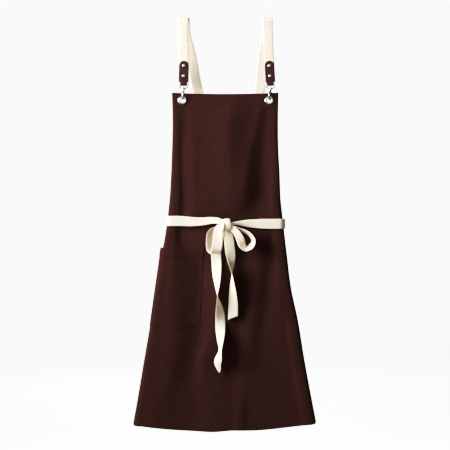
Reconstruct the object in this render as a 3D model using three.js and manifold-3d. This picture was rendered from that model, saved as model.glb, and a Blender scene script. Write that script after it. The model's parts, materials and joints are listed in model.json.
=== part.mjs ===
// A butcher's bib apron of brown canvas, hanging from its own two shoulder tapes.
// Millimetres. +X is to the right as the apron is seen from the front, +Y is behind it, +Z is up.
// The origin is midway between the tops of the two tapes, where they lie over what holds the apron.
// "left" and "right" in the names are as seen from the front.
import * as THREE from "three";
import { mergeVertices } from "three/addons/utils/BufferGeometryUtils.js";
import Module from "manifold-3d";

const wasm = await Module();
wasm.setup();

// ---- Driving dimensions ----
const GAP = 0.3; // between pieces that touch

// Cloth: one panel whose sides are folded behind into wings.
const CLOTH = 2; // thickness of the panel
const BIB_HEM = 3; // thickness of the doubled hem along the bib's top
const BIB_HEM_DEPTH = 45;
const FACE_Y = -10; // middle of the cloth in front
const BIB_TOP_Z = -189;
const WAIST_Z = -507;
const HEM_Z = -1040;
// Height, then the half widths seen in front on the left and on the right.
const SILHOUETTE = [
  [-189, 133, 133],
  [-337, 133, 133],
  [-387, 135, 136],
  [-457, 139, 139],
  [-507, 145, 144],
  [-597, 160, 155],
  [-757, 186, 182],
  [-915, 213, 209],
  [-1040, 235, 233],
];
// Height, then the radius of the side fold and the width of the wing behind it.
const WING = [
  [-189, 2.2, 1],
  [-300, 8, 24],
  [-400, 15, 62],
  [-475, 21, 107],
  [-545, 21, 106],
  [-1040, 26, 50],
];

// Patch pocket, on the left, running round the side fold.
const POCKET_TOP_Z = -578;
const POCKET_BOTTOM_Z = -771;
const POCKET_WIDTH = 165;
const POCKET_BULGE = 9;
const POCKET_STAND_OFF = 1.3; // where it is drawn tight round the side fold

// Tape: shoulder tapes and waist ties are one 25 mm webbing on each side.
const TAPE_WIDTH = 25;
const TAPE = 2; // thickness
const THROAT_WIDTH = 8.4; // where the tape is drawn through a waist eyelet
const TOP_FOLD_RADIUS = 10;
const TIE_LIFT = CLOTH / 2 + GAP + TAPE / 2; // middle of the tie above the middle of the cloth

// Eyelets.
const EYELET_RADIUS = 10.5;
const EYELET_HOLE = 6;
const BARREL = 6.8;
const BARREL_HOLE = BARREL + GAP;
const WASHER = 0.8;
const WAIST_EYELET_INSET = 22; // from the wing's back edge

// Leather tab, folded round the bar of the swivel eye.
const LEATHER = 1.6;
const BAR = 1.3; // radius of the eye's wire
const TAB_INNER = BAR + 0.9; // the bar is loose in the fold
const TAB_OUTER = TAB_INNER + LEATHER;
const TAB_WIDTH = 24.5;
const TAB_FOLD_WIDTH = 15;
const TAB_HEIGHT = 59;
const RIVETS = [46.5, 21]; // heights above the bar: upper, lower
const RIVET_HEAD = 4;
const RIVET_POST = 1.2;

// Swivel eye and hook, measured down from the bar.
const EYE_HALF_WIDTH = 11.2;
const SWIVEL_RADIUS = 4;
const SWIVEL_TOP = -8.5;
const SWIVEL_BOTTOM = -14.5;
const SHANK = 1.4; // radius of the swivel pin
const WIRE = 2; // radius of the hook's wire
const CROWN_Z = -17.2;
const HOOK_BOTTOM_Z = -37.4;
const HOOK_HALF_DEPTH = 9;
const GATE_PIVOT = new THREE.Vector2(8.6, -22.5); // y, z
const GATE_END_Z = -28.9;
const GATE_PIN = 0.8;
const GATE_BORE = GATE_PIN + GAP;
const SPRING_WIRE = 0.17; // radius
const SPRING_FROM = 0.45; // x of the coil's first turn, and then of its last
const SPRING_TO = 1.65;

// What differs between the two shoulders. x is the bib eyelet's middle, and the hook's wire is
// wireShift off it; hookLean, tabLean and turn are in degrees; frontX and backX are the tape's two
// runs at the top, and backLowX is its back run at the height of the bib's top edge.
const SHOULDERS = [
  { side: "left", sign: -1, x: -107, wireShift: 0.8, hookLean: 3.4, tabLean: 1, turn: 0,
    frontX: -105, backX: -101.8, backLowX: -67, backY: 23 },
  { side: "right", sign: 1, x: 110, wireShift: 1, hookLean: 3.4, tabLean: -3.1, turn: -16,
    frontX: 106, backX: 105.8, backLowX: 85, backY: 27 },
];
const EYELET_Z = -208.5;
const WIRE_ABOVE_EYELET = 2.6; // the hook's wire lies in the upper half of the hole

// ---- Materials ----
const canvas = () => new THREE.MeshStandardMaterial({ color: 0x3c2520, roughness: 0.9 });
const webbing = () => new THREE.MeshStandardMaterial({ color: 0xf4ead8, roughness: 0.95 });
const leather = () => new THREE.MeshStandardMaterial({ color: 0x4a2620, roughness: 0.55 });
const nickel = () =>
  new THREE.MeshStandardMaterial({ color: 0xc9c9c6, roughness: 0.25, metalness: 1 });
const springSteel = () =>
  new THREE.MeshStandardMaterial({ color: 0x9a9a98, roughness: 0.35, metalness: 1 });

// ---- Helpers ----
const vec = (x, y, z) => new THREE.Vector3(x, y, z);
const { lerp, degToRad } = THREE.MathUtils;

// A column of a table of heights, read between its rows.
function readAt(table, z, column) {
  const next = table.findIndex((row) => row[0] <= z);
  if (next === 0) return table[0][column];
  if (next < 0) return table[table.length - 1][column];
  const [above, below] = [table[next - 1], table[next]];
  return lerp(above[column], below[column], (z - above[0]) / (below[0] - above[0]));
}

// A closed sheet with thickness. place(u, v) gives the point on its outer and on its inner face.
function thickSheet(columns, rows, place) {
  const outer = [];
  const inner = [];
  for (let c = 0; c <= columns; c++)
    for (let r = 0; r <= rows; r++) {
      const [front, back] = place(c / columns, r / rows);
      outer.push(...front.toArray());
      inner.push(...back.toArray());
    }
  const layer = (columns + 1) * (rows + 1);
  const out = (c, r) => c * (rows + 1) + r;
  const inn = (c, r) => layer + out(c, r);
  const faces = [];
  const quad = (a, b, c, d) => faces.push(a, b, c, a, c, d);
  for (let c = 0; c < columns; c++)
    for (let r = 0; r < rows; r++) {
      quad(out(c, r), out(c + 1, r), out(c + 1, r + 1), out(c, r + 1));
      quad(inn(c, r + 1), inn(c + 1, r + 1), inn(c + 1, r), inn(c, r));
    }
  for (let r = 0; r < rows; r++) {
    quad(out(0, r), out(0, r + 1), inn(0, r + 1), inn(0, r));
    quad(out(columns, r + 1), out(columns, r), inn(columns, r), inn(columns, r + 1));
  }
  for (let c = 0; c < columns; c++) {
    quad(out(c + 1, 0), out(c, 0), inn(c, 0), inn(c + 1, 0));
    quad(out(c, rows), out(c + 1, rows), inn(c + 1, rows), inn(c, rows));
  }
  const positions = [...outer, ...inner];
  if (enclosedVolume(positions, faces) < 0) faces.reverse();
  const sheet = new THREE.BufferGeometry();
  sheet.setAttribute("position", new THREE.Float32BufferAttribute(positions, 3));
  sheet.setIndex(faces);
  return sheet;
}

function enclosedVolume(positions, faces) {
  const corner = (i) => new THREE.Vector3().fromArray(positions, 3 * faces[i]);
  let volume = 0;
  for (let i = 0; i < faces.length; i += 3)
    volume += corner(i).dot(corner(i + 1).cross(corner(i + 2))) / 6;
  return volume;
}

// A flat tape along a smooth curve. Each key is [middle, direction of its width, width].
function tape(keys, stepsPerKey = 3) {
  const route = new THREE.CatmullRomCurve3(keys.map((key) => key[0]), false, "centripetal");
  const spans = keys.length - 1;
  return thickSheet(1, spans * stepsPerKey, (u, v) => {
    const span = Math.min(Math.floor(v * spans), spans - 1);
    const part = v * spans - span;
    const along = route.getTangent(v);
    const across = keys[span][1].clone().lerp(keys[span + 1][1], part);
    across.addScaledVector(along, -across.dot(along)).normalize();
    const width = lerp(keys[span][2] ?? TAPE_WIDTH, keys[span + 1][2] ?? TAPE_WIDTH, part);
    const middle = route.getPoint(v).addScaledVector(across, (u - 0.5) * width);
    const lift = across.cross(along).setLength(TAPE / 2);
    return [middle.clone().add(lift), middle.sub(lift)];
  });
}

function toSolid(geometry) {
  const bare = geometry.clone();
  bare.deleteAttribute("normal");
  bare.deleteAttribute("uv");
  const merged = mergeVertices(bare, 1e-4);
  return new wasm.Manifold(
    new wasm.Mesh({
      numProp: 3,
      vertProperties: merged.attributes.position.array,
      triVerts: new Uint32Array(merged.index.array),
    }),
  );
}

function toGeometry(solid) {
  const { vertProperties, triVerts } = solid.getMesh();
  const geometry = new THREE.BufferGeometry();
  geometry.setAttribute("position", new THREE.Float32BufferAttribute(vertProperties, 3));
  geometry.setIndex(Array.from(triVerts));
  return geometry;
}

const cut = (geometry, ...tools) =>
  toGeometry(tools.reduce((solid, tool) => solid.subtract(toSolid(tool)), toSolid(geometry)));
const join = (first, ...others) =>
  toGeometry(others.reduce((solid, other) => solid.add(toSolid(other)), toSolid(first)));
const common = (first, second) => toGeometry(toSolid(first).intersect(toSolid(second)));

// Round bars: radius, length, and the middle, along X, Y or Z.
const barAlongY = (radius, length, x, y, z, sides = 16) =>
  new THREE.CylinderGeometry(radius, radius, length, sides).translate(x, y, z);
const barAlongX = (radius, length, x, y, z, sides = 12) =>
  new THREE.CylinderGeometry(radius, radius, length, sides).rotateZ(-Math.PI / 2).translate(x, y, z);
const barAlongZ = (radius, length, x, y, z, sides = 16) =>
  new THREE.CylinderGeometry(radius, radius, length, sides).rotateX(Math.PI / 2).translate(x, y, z);
const block = (x, y, z, width, depth, height) =>
  new THREE.BoxGeometry(width, depth, height).translate(x, y, z);

function wire(points, radius, sides, steps) {
  const section = new THREE.Shape().absarc(0, 0, radius, 0, 2 * Math.PI);
  const path = new THREE.CatmullRomCurve3(points, false, "centripetal");
  // A full circle gets two points for each curve segment.
  return new THREE.ExtrudeGeometry(section, { curveSegments: sides / 2, steps, extrudePath: path });
}

const turnedAboutY = (profile, segments = 16) =>
  new THREE.LatheGeometry(profile.map(([radius, y]) => new THREE.Vector2(radius, y)), segments);

// ---- Cloth ----
const foldRadius = (z) => readAt(WING, z, 1);
const flatHalf = (z, sign) => readAt(SILHOUETTE, z, sign < 0 ? 1 : 2) - foldRadius(z);
const clothHalf = (z, sign) =>
  flatHalf(z, sign) + Math.PI * foldRadius(z) + readAt(WING, z, 2);

// A point at distance s along the cloth from its centre line, raised by lift from its middle.
// In front the cloth faces -Y; past the side fold it lies behind and faces +Y.
function onCloth(s, z, lift) {
  const sign = s < 0 ? -1 : 1;
  const radius = foldRadius(z);
  const flat = flatHalf(z, sign);
  const past = Math.abs(s) - flat;
  if (past <= 0) return vec(s, FACE_Y - lift, z);
  if (past >= Math.PI * radius)
    return vec(sign * (flat - (past - Math.PI * radius)), FACE_Y + 2 * radius + lift, z);
  const turn = past / radius;
  const reach = radius + lift;
  return vec(sign * (flat + reach * Math.sin(turn)), FACE_Y + radius - reach * Math.cos(turn), z);
}

// Distances along the cloth, from one back edge to the other, that give the folds enough columns.
function clothColumns(z) {
  const half = (sign) => {
    const flat = flatHalf(z, sign);
    const bend = Math.PI * foldRadius(z);
    const wing = readAt(WING, z, 2);
    const bends = [0, 1, 2, 3, 4, 5, 6].map((step) => flat + (bend * step) / 6);
    return [flat / 2, ...bends, flat + bend + wing / 2, flat + bend + wing];
  };
  return [...half(-1).reverse().map((s) => -s), 0, ...half(1)];
}

// The hem is lowest just left of the middle and rises to the sides.
const hemZ = (s) => HEM_Z + 22 * Math.min(Math.abs((s + 15) / 235), 1.2) ** 2;
const bibTopZ = (s) => BIB_TOP_Z - 3.5 * (1 - Math.min(Math.abs(s / 133), 1) ** 2);

const PANEL_ROWS = [
  BIB_TOP_Z, BIB_TOP_Z - BIB_HEM_DEPTH, BIB_TOP_Z - BIB_HEM_DEPTH - 2, -300, -350, -400, -445,
  -475, WAIST_Z, -545, -600, -680, -757, -840, -915, -980, HEM_Z,
];

function panelGeometry() {
  const columns = clothColumns(0).length - 1;
  const rows = PANEL_ROWS.length - 1;
  const sheet = thickSheet(columns, rows, (u, v) => {
    const row = Math.round(v * rows);
    const level = PANEL_ROWS[row];
    const s = clothColumns(level)[Math.round(u * columns)];
    const z = row === 0 ? bibTopZ(s) : row === rows ? hemZ(s) : level;
    const lift = (row < 2 ? BIB_HEM : CLOTH) / 2;
    return [onCloth(s, z, lift), onCloth(s, z, -lift)];
  });
  const holes = SHOULDERS.flatMap(({ x, sign }) => {
    const waist = waistEyeletAt(sign);
    return [
      barAlongY(BARREL_HOLE, 12, x, FACE_Y, EYELET_Z),
      barAlongY(BARREL_HOLE, 12, waist.x, waist.y, waist.z),
    ];
  });
  return cut(sheet, ...holes);
}

const waistEyeletAt = (sign) =>
  onCloth(sign * (clothHalf(WAIST_Z, sign) - WAIST_EYELET_INSET), WAIST_Z, 0);

function pocketGeometry() {
  return thickSheet(16, 8, (u, v) => {
    const inner = lerp(-53, -64, v);
    const z = lerp(POCKET_TOP_Z, POCKET_BOTTOM_Z - 9 * Math.sin(Math.PI * u), v);
    const bulge = POCKET_BULGE * Math.sin(Math.PI * u) ** 0.5 * (1 - v ** 4);
    const seat = CLOTH / 2 + POCKET_STAND_OFF + bulge;
    const s = inner - u * POCKET_WIDTH;
    return [onCloth(s, z, seat + CLOTH), onCloth(s, z, seat)];
  });
}

// ---- Eyelets ----
// The eyelet's flange is in front and its barrel runs back through cloth and washer; half is half
// the cloth's thickness there.
function eyeletGeometry(half) {
  const seat = half + GAP;
  const lip = seat + WASHER + GAP;
  const nose = -seat - 1.2;
  return turnedAboutY([
    [EYELET_HOLE, nose + 0.6], [EYELET_HOLE + 0.7, nose], [EYELET_RADIUS - 1.4, nose],
    [EYELET_RADIUS, nose + 0.8], [EYELET_RADIUS, -seat], [BARREL, -seat], [BARREL, lip],
    [BARREL + 1.2, lip], [BARREL + 1.2, lip + 0.6], [EYELET_HOLE, lip + 0.6],
    [EYELET_HOLE, nose + 0.6],
  ]);
}

function washerGeometry(half) {
  const seat = half + GAP;
  return turnedAboutY([
    [BARREL_HOLE, seat], [EYELET_RADIUS, seat], [EYELET_RADIUS, seat + WASHER],
    [BARREL_HOLE, seat + WASHER], [BARREL_HOLE, seat],
  ]);
}

// ---- Leather tab and rivets, in a frame whose origin is the middle of the eye's bar ----
// Turns a shape drawn in (y, z) and extruded along its own depth so that the depth is X.
const drawnInYZ = new THREE.Matrix4().makeBasis(vec(0, 1, 0), vec(0, 0, 1), vec(1, 0, 0));
// The same for a shape drawn in (x, z), whose depth then runs towards -Y.
const drawnInXZ = new THREE.Matrix4().makeBasis(vec(1, 0, 0), vec(0, 0, 1), vec(0, -1, 0));

function tabGeometry() {
  const fold = new THREE.Shape();
  fold.moveTo(-TAB_OUTER, TAB_HEIGHT).lineTo(-TAB_OUTER, 0);
  fold.absarc(0, 0, TAB_OUTER, Math.PI, 2 * Math.PI);
  fold.lineTo(TAB_OUTER, TAB_HEIGHT).lineTo(TAB_INNER, TAB_HEIGHT).lineTo(TAB_INNER, 0);
  fold.absarc(0, 0, TAB_INNER, 0, Math.PI, true);
  fold.lineTo(-TAB_INNER, TAB_HEIGHT);
  const folded = new THREE.ExtrudeGeometry(fold, {
    depth: TAB_WIDTH + 2, bevelEnabled: false, curveSegments: 5,
  });
  folded.translate(0, 0, -TAB_WIDTH / 2 - 1).applyMatrix4(drawnInYZ);

  const half = TAB_WIDTH / 2;
  const neck = TAB_FOLD_WIDTH / 2;
  const outline = new THREE.Shape();
  outline.moveTo(-neck, -TAB_OUTER - 1).lineTo(neck, -TAB_OUTER - 1).lineTo(neck, 4);
  outline.quadraticCurveTo(half, 6, half, 12).lineTo(half, TAB_HEIGHT - half);
  outline.absarc(0, TAB_HEIGHT - half, half, 0, Math.PI);
  outline.lineTo(-half, 12).quadraticCurveTo(-half, 6, -neck, 4);
  const cutter = new THREE.ExtrudeGeometry(outline, {
    depth: 20, bevelEnabled: false, curveSegments: 6,
  });
  cutter.translate(0, 0, -10).applyMatrix4(drawnInXZ);
  return cut(common(folded, cutter), ...rivetHoles());
}

const rivetHoles = () => RIVETS.map((z) => barAlongY(RIVET_POST + GAP, 20, 0, 0, z, 12));

const domeOver = (face, towards) => [
  [0, face + 1.4 * towards], [1.7, face + 1.3 * towards], [3.2, face + 0.9 * towards],
  [RIVET_HEAD, face + 0.2 * towards], [RIVET_HEAD, face],
];

function rivetGeometry() {
  const face = -TAB_OUTER - GAP;
  const tip = TAB_OUTER + GAP + 0.5;
  return turnedAboutY([...domeOver(face, -1), [RIVET_POST, face], [RIVET_POST, tip], [0, tip]], 12);
}

function rivetCapGeometry() {
  const face = TAB_OUTER + GAP;
  const socket = RIVET_POST + GAP;
  const floor = face + 0.5 + GAP;
  const dome = domeOver(face, 1).reverse();
  return turnedAboutY([[0, floor], [socket, floor], [socket, face], ...dome], 12);
}

// ---- Swivel eye, hook, gate ----
function eyeGeometry() {
  const half = EYE_HALF_WIDTH;
  const bow = wire(
    [vec(-half, 0, 0), vec(-half, 0, -3.4), vec(-7.4, 0, -8.6), vec(0, 0, -10.4),
      vec(7.4, 0, -8.6), vec(half, 0, -3.4), vec(half, 0, 0)],
    BAR, 8, 20,
  );
  const swivelHeight = SWIVEL_TOP - SWIVEL_BOTTOM;
  const swivel = barAlongZ(SWIVEL_RADIUS, swivelHeight, 0, 0, SWIVEL_BOTTOM + swivelHeight / 2);
  const bore = barAlongZ(SHANK + GAP, 14, 0, 0, SWIVEL_BOTTOM + 2);
  return cut(join(barAlongX(BAR, 2 * half + 2 * BAR, 0, 0, 0), bow, swivel), bore);
}

function hookGeometry() {
  const y = HOOK_HALF_DEPTH;
  const round = wire(
    [vec(0, 7.6, CROWN_Z - 1.5), vec(0, 4.6, CROWN_Z - 0.4), vec(0, 0, CROWN_Z),
      vec(0, -6, -18.9), vec(0, -y, -23.5), vec(0, -y, -30), vec(0, -6.8, -35),
      vec(0, -3.4, HOOK_BOTTOM_Z), vec(0, 3.4, HOOK_BOTTOM_Z), vec(0, 6.8, -35),
      vec(0, y, -31), vec(0, y, -29.3)],
    WIRE, 8, 30,
  );
  const shank = barAlongZ(SHANK, 10, 0, 0, CROWN_Z + 5);
  const head = barAlongZ(SHANK + 1.2, 1.2, 0, 0, SWIVEL_TOP + GAP + 0.6);
  const clevis = block(0, 8.2, -18.9, 6.4, 4.4, 2.6);
  const ears = [-2.6, 2.6].map((x) => block(x, 8.4, -21.9, 1.2, 4.4, 4.6));
  const bore = barAlongX(GATE_BORE, 10, 0, GATE_PIVOT.x, GATE_PIVOT.y);
  return cut(join(round, shank, head, clevis, ...ears), bore);
}

function gateGeometry() {
  const { x: y, y: z } = GATE_PIVOT;
  const barTop = z - 2.5;
  const eye = barAlongX(1.9, 1.8, -0.8, y, z);
  const neck = block(-0.8, y, z - 2, 1.8, 2.4, 4);
  const bar = block(0, y, (barTop + GATE_END_Z) / 2, 3.4, 2.8, barTop - GATE_END_Z);
  return cut(join(eye, neck, bar), barAlongX(GATE_BORE, 10, 0, y, z));
}

// Two turns round the gate's pin, with a short leg up and one down.
function gateSpringGeometry() {
  const { x: y, y: z } = GATE_PIVOT;
  const coil = 1.45;
  const turns = 2;
  const points = [vec(SPRING_FROM, y + coil, z + 1.6)];
  for (let step = 0; step <= turns * 12; step++) {
    const angle = (2 * Math.PI * step) / 12;
    const x = lerp(SPRING_FROM, SPRING_TO, step / (turns * 12));
    points.push(vec(x, y + coil * Math.cos(angle), z - coil * Math.sin(angle)));
  }
  points.push(vec(SPRING_TO, y + coil, z - 1.7));
  return wire(points, SPRING_WIRE, 6, 60);
}

// ---- Tapes ----
const ACROSS = vec(1, 0, 0);
const UPRIGHT = vec(0, 0, 1);
// The direction of the width of a hanging tape that is turned about its length.
const turned = (degrees) => vec(Math.cos(degToRad(degrees)), Math.sin(degToRad(degrees)), 0);

// A line of a given length that leans from upright in the cloth's plane.
const leaning = (length, degrees) =>
  vec(length * Math.sin(degToRad(degrees)), 0, length * Math.cos(degToRad(degrees)));

const barPoint = ({ x, wireShift, hookLean }) =>
  vec(x + wireShift, FACE_Y, EYELET_Z + WIRE_ABOVE_EYELET).add(leaning(-HOOK_BOTTOM_Z, hookLean));

// From the leather tab up, over the top, down behind the bib, across, and into the waist eyelet of
// the other side's wing.
function shoulderTape(shoulder) {
  const { sign, tabLean, frontX, backX, backLowX, backY } = shoulder;
  const bar = barPoint(shoulder);
  const tabTop = bar.clone().add(leaning(TAB_HEIGHT, tabLean));
  const eyelet = waistEyeletAt(-sign);
  const radius = TOP_FOLD_RADIUS;
  const across = -sign;
  const keys = [
    [bar.clone().lerp(tabTop, 0.09), ACROSS],
    [tabTop, ACROSS],
    [vec(lerp(tabTop.x, frontX, 0.7), FACE_Y, -70), ACROSS],
    [vec(frontX, FACE_Y, -radius - 8), ACROSS],
    [vec(lerp(frontX, backX, 0.2), -0.8 * radius, -0.4 * radius - TAPE / 2), ACROSS],
    [vec(lerp(frontX, backX, 0.5), 0, -TAPE / 2), ACROSS],
    [vec(lerp(frontX, backX, 0.8), 0.8 * radius, -0.4 * radius - TAPE / 2), ACROSS],
    [vec(backX, radius, -radius - 8), ACROSS],
    [vec(lerp(backX, backLowX, 0.5), radius + 3, -100), ACROSS],
    [vec(backLowX, backY - 8, -190), ACROSS],
    [vec(lerp(backLowX, 0, 0.52), backY - 3, -290), ACROSS],
    [vec(0, backY, -385), ACROSS],
    [vec(across * 16, backY - 4, -440), ACROSS, 22],
    [vec(eyelet.x - across * 3, eyelet.y - 10, -478), ACROSS, 15],
    [vec(eyelet.x, eyelet.y - 10, -500), ACROSS, THROAT_WIDTH],
    [vec(eyelet.x, eyelet.y - 6, WAIST_Z), ACROSS, THROAT_WIDTH],
    [vec(eyelet.x, eyelet.y - GAP / 2, WAIST_Z), ACROSS, THROAT_WIDTH],
  ];
  const strap = tape(keys);
  const tab = tabPlacement(shoulder);
  const holes = rivetHoles().map((hole) => hole.applyMatrix4(tab));
  return cut(strap, ...holes);
}

// From the waist eyelet, out over the wing, round the side and across the front to the knot.
// route is [distance along the cloth, height, width] for each key on the front.
function waistTie(sign, route) {
  const eyelet = waistEyeletAt(sign);
  const half = clothHalf(WAIST_Z, sign);
  const bend = flatHalf(WAIST_Z, sign) + Math.PI * foldRadius(WAIST_Z);
  const away = sign;
  const keys = [
    [vec(eyelet.x, eyelet.y + GAP / 2, WAIST_Z), ACROSS, THROAT_WIDTH],
    [vec(eyelet.x, eyelet.y + 5.5, WAIST_Z), vec(0.8, 0, 0.6), THROAT_WIDTH],
    [vec(eyelet.x + away * 7, eyelet.y + 8.2, WAIST_Z), UPRIGHT, 12],
    [vec(eyelet.x + away * 20, eyelet.y + 6, WAIST_Z), UPRIGHT, 18],
    [onCloth(sign * (half - WAIST_EYELET_INSET - 42), WAIST_Z, TIE_LIFT + 1), UPRIGHT],
    [onCloth(sign * bend, WAIST_Z - 1, TIE_LIFT + 1), UPRIGHT],
    ...[0.8, 0.6, 0.4, 0.2, 0].map((share) => {
      const s = flatHalf(WAIST_Z, sign) + share * Math.PI * foldRadius(WAIST_Z);
      return [onCloth(sign * s, WAIST_Z - 3, TIE_LIFT + 2), UPRIGHT];
    }),
    ...route.map(([s, z, width, lift]) => [onCloth(s, z, TIE_LIFT + lift), UPRIGHT, width]),
  ];
  return tape(keys);
}

const LEFT_TIE_ROUTE = [[-91, -512, 22, 2.5], [-48, -510, 17, 4], [-17, -511, 12, 9]];
const RIGHT_TIE_ROUTE = [[84, -516, 23, 2], [37, -516, 14, 5], [23, -516, 9, 9]];

const KNOT = { at: vec(3.5, -25.5, -520), half: vec(14, 10, 14.5), tilt: 20 };

function knotGeometry() {
  return new THREE.SphereGeometry(1, 14, 10)
    .scale(KNOT.half.x, KNOT.half.y, KNOT.half.z)
    .rotateY(degToRad(KNOT.tilt))
    .translate(KNOT.at.x, KNOT.at.y, KNOT.at.z);
}

// The left loop hangs as a hoop whose open side faces left and forward.
const leftLoopAcross = vec(0.85, 0.5, 0);
const LEFT_LOOP = [
  [vec(-14, -36, -521), leftLoopAcross, 18],
  [vec(-17.5, -42, -533), leftLoopAcross],
  [vec(-18.5, -44.5, -552), leftLoopAcross],
  [vec(-20, -42.5, -572), leftLoopAcross],
  [vec(-27, -35, -588), leftLoopAcross],
  [vec(-35, -27, -576), leftLoopAcross],
  [vec(-36.5, -23, -553), leftLoopAcross, 22],
  [vec(-31, -22, -534), leftLoopAcross, 18],
  [vec(-18, -22, -525), leftLoopAcross, 12],
];

// The right loop stands open to the front and droops.
const RIGHT_LOOP = [
  [vec(18.5, -31, -529), vec(-0.3, 0.9, 0.4), 12],
  [vec(30, -33, -540.5), vec(0.6, 0.75, 0.3), 20],
  [vec(38, -34, -556), vec(0.5, 0.85, 0)],
  [vec(42.5, -33, -571), vec(0.4, 0.9, 0)],
  [vec(52, -31, -579), vec(0, 0.85, 0.5)],
  [vec(65, -29, -572), vec(-0.3, 0.9, 0.2)],
  [vec(70, -27.5, -558), vec(-0.35, 0.93, 0)],
  [vec(61, -26.5, -544.5), vec(-0.2, 0.95, -0.3)],
  [vec(41, -25, -532), vec(0, 0.95, -0.3), 20],
  [vec(22, -24, -522), vec(0, 1, 0), 12],
];

// A key of a tail that hangs clear of the cloth in front: its middle's x and z, its turn, its width.
function tailKey([x, z, degrees, width = TAPE_WIDTH]) {
  const reach = (width / 2) * Math.abs(Math.sin(degToRad(degrees)));
  return [vec(x, FACE_Y - TIE_LIFT - 2 - reach, z), turned(degrees), width];
}

const LEFT_TAIL = [
  [-10.5, -540, 0, 18], [-17, -562, 0], [-22.5, -585, 0], [-21.7, -612, 33], [-21, -645, 46],
  [-20, -668, 62], [-19.5, -697, 90], [-15.3, -727, 125], [-12, -765, 154], [-12, -790, 152],
  [-11.7, -820, 124], [-12.3, -847, 90], [-15.5, -868, 55, 20], [-14, -888, 35, 6],
];

const RIGHT_TAIL = [
  [10.5, -540, 0, 19], [9.8, -558, 15, 20], [13.3, -592, 45], [14.8, -613, 60], [17, -642, 90],
  [18.5, -686, 135], [20, -722, 165], [19.5, -752, 172],
];

// ---- Assembly ----
const apron = new THREE.Group();
const add = (parent, name, geometry, material) => {
  const mesh = new THREE.Mesh(geometry, material);
  mesh.name = name;
  parent.add(mesh);
};

// Where a shoulder's leather tab is: its bar's middle, and its lean in the cloth's plane.
function tabPlacement(shoulder) {
  const bar = barPoint(shoulder);
  return new THREE.Matrix4().makeRotationY(degToRad(shoulder.tabLean)).setPosition(bar);
}

function placed(matrix) {
  const group = new THREE.Group();
  matrix.decompose(group.position, group.quaternion, group.scale);
  return group;
}

function addShoulder(shoulder) {
  const { side, sign, x, turn } = shoulder;
  add(apron, `${side}_shoulder_tape`, shoulderTape(shoulder), webbing());

  const tab = placed(tabPlacement(shoulder));
  add(tab, `${side}_leather_tab`, tabGeometry(), leather());
  ["upper", "lower"].forEach((level, index) => {
    const height = RIVETS[index];
    add(tab, `${side}_${level}_rivet`, rivetGeometry().translate(0, 0, height), nickel());
    add(tab, `${side}_${level}_rivet_cap`, rivetCapGeometry().translate(0, 0, height), nickel());
  });

  const bar = barPoint(shoulder);
  const lean = degToRad(shoulder.hookLean);
  const swivel = placed(new THREE.Matrix4().makeRotationY(lean).setPosition(bar));
  add(swivel, `${side}_swivel_eye`, eyeGeometry(), nickel());
  const hook = new THREE.Group();
  hook.rotation.z = degToRad(turn);
  add(hook, `${side}_hook`, hookGeometry(), nickel());
  add(hook, `${side}_hook_gate`, gateGeometry(), nickel());
  const pin = barAlongX(GATE_PIN, 6.4, 0, GATE_PIVOT.x, GATE_PIVOT.y, 10);
  add(hook, `${side}_gate_pin`, pin, springSteel());
  add(hook, `${side}_gate_spring`, gateSpringGeometry(), springSteel());
  swivel.add(hook);

  const bib = placed(new THREE.Matrix4().makeTranslation(x, FACE_Y, EYELET_Z));
  add(bib, `${side}_bib_eyelet`, eyeletGeometry(BIB_HEM / 2), nickel());
  add(bib, `${side}_bib_washer`, washerGeometry(BIB_HEM / 2), nickel());

  // Its flange is on the cloth's outer face, which is behind on the wing.
  const waist = placed(new THREE.Matrix4().makeRotationZ(Math.PI).setPosition(waistEyeletAt(sign)));
  add(waist, `${side}_waist_eyelet`, eyeletGeometry(CLOTH / 2), nickel());
  add(waist, `${side}_waist_washer`, washerGeometry(CLOTH / 2), nickel());
  apron.add(tab, swivel, bib, waist);
}

add(apron, "apron_panel", panelGeometry(), canvas());
add(apron, "patch_pocket", pocketGeometry(), canvas());
SHOULDERS.forEach(addShoulder);
add(apron, "left_waist_tie", waistTie(-1, LEFT_TIE_ROUTE), webbing());
add(apron, "right_waist_tie", waistTie(1, RIGHT_TIE_ROUTE), webbing());
add(apron, "bow_knot", knotGeometry(), webbing());
add(apron, "bow_left_loop", tape(LEFT_LOOP), webbing());
add(apron, "bow_right_loop", tape(RIGHT_LOOP), webbing());
add(apron, "bow_left_tail", tape(LEFT_TAIL.map(tailKey)), webbing());
add(apron, "bow_right_tail", tape(RIGHT_TAIL.map(tailKey)), webbing());

export default apron;
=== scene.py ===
import json
import math

import bpy
import numpy as np
from mathutils import Matrix, Vector


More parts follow.
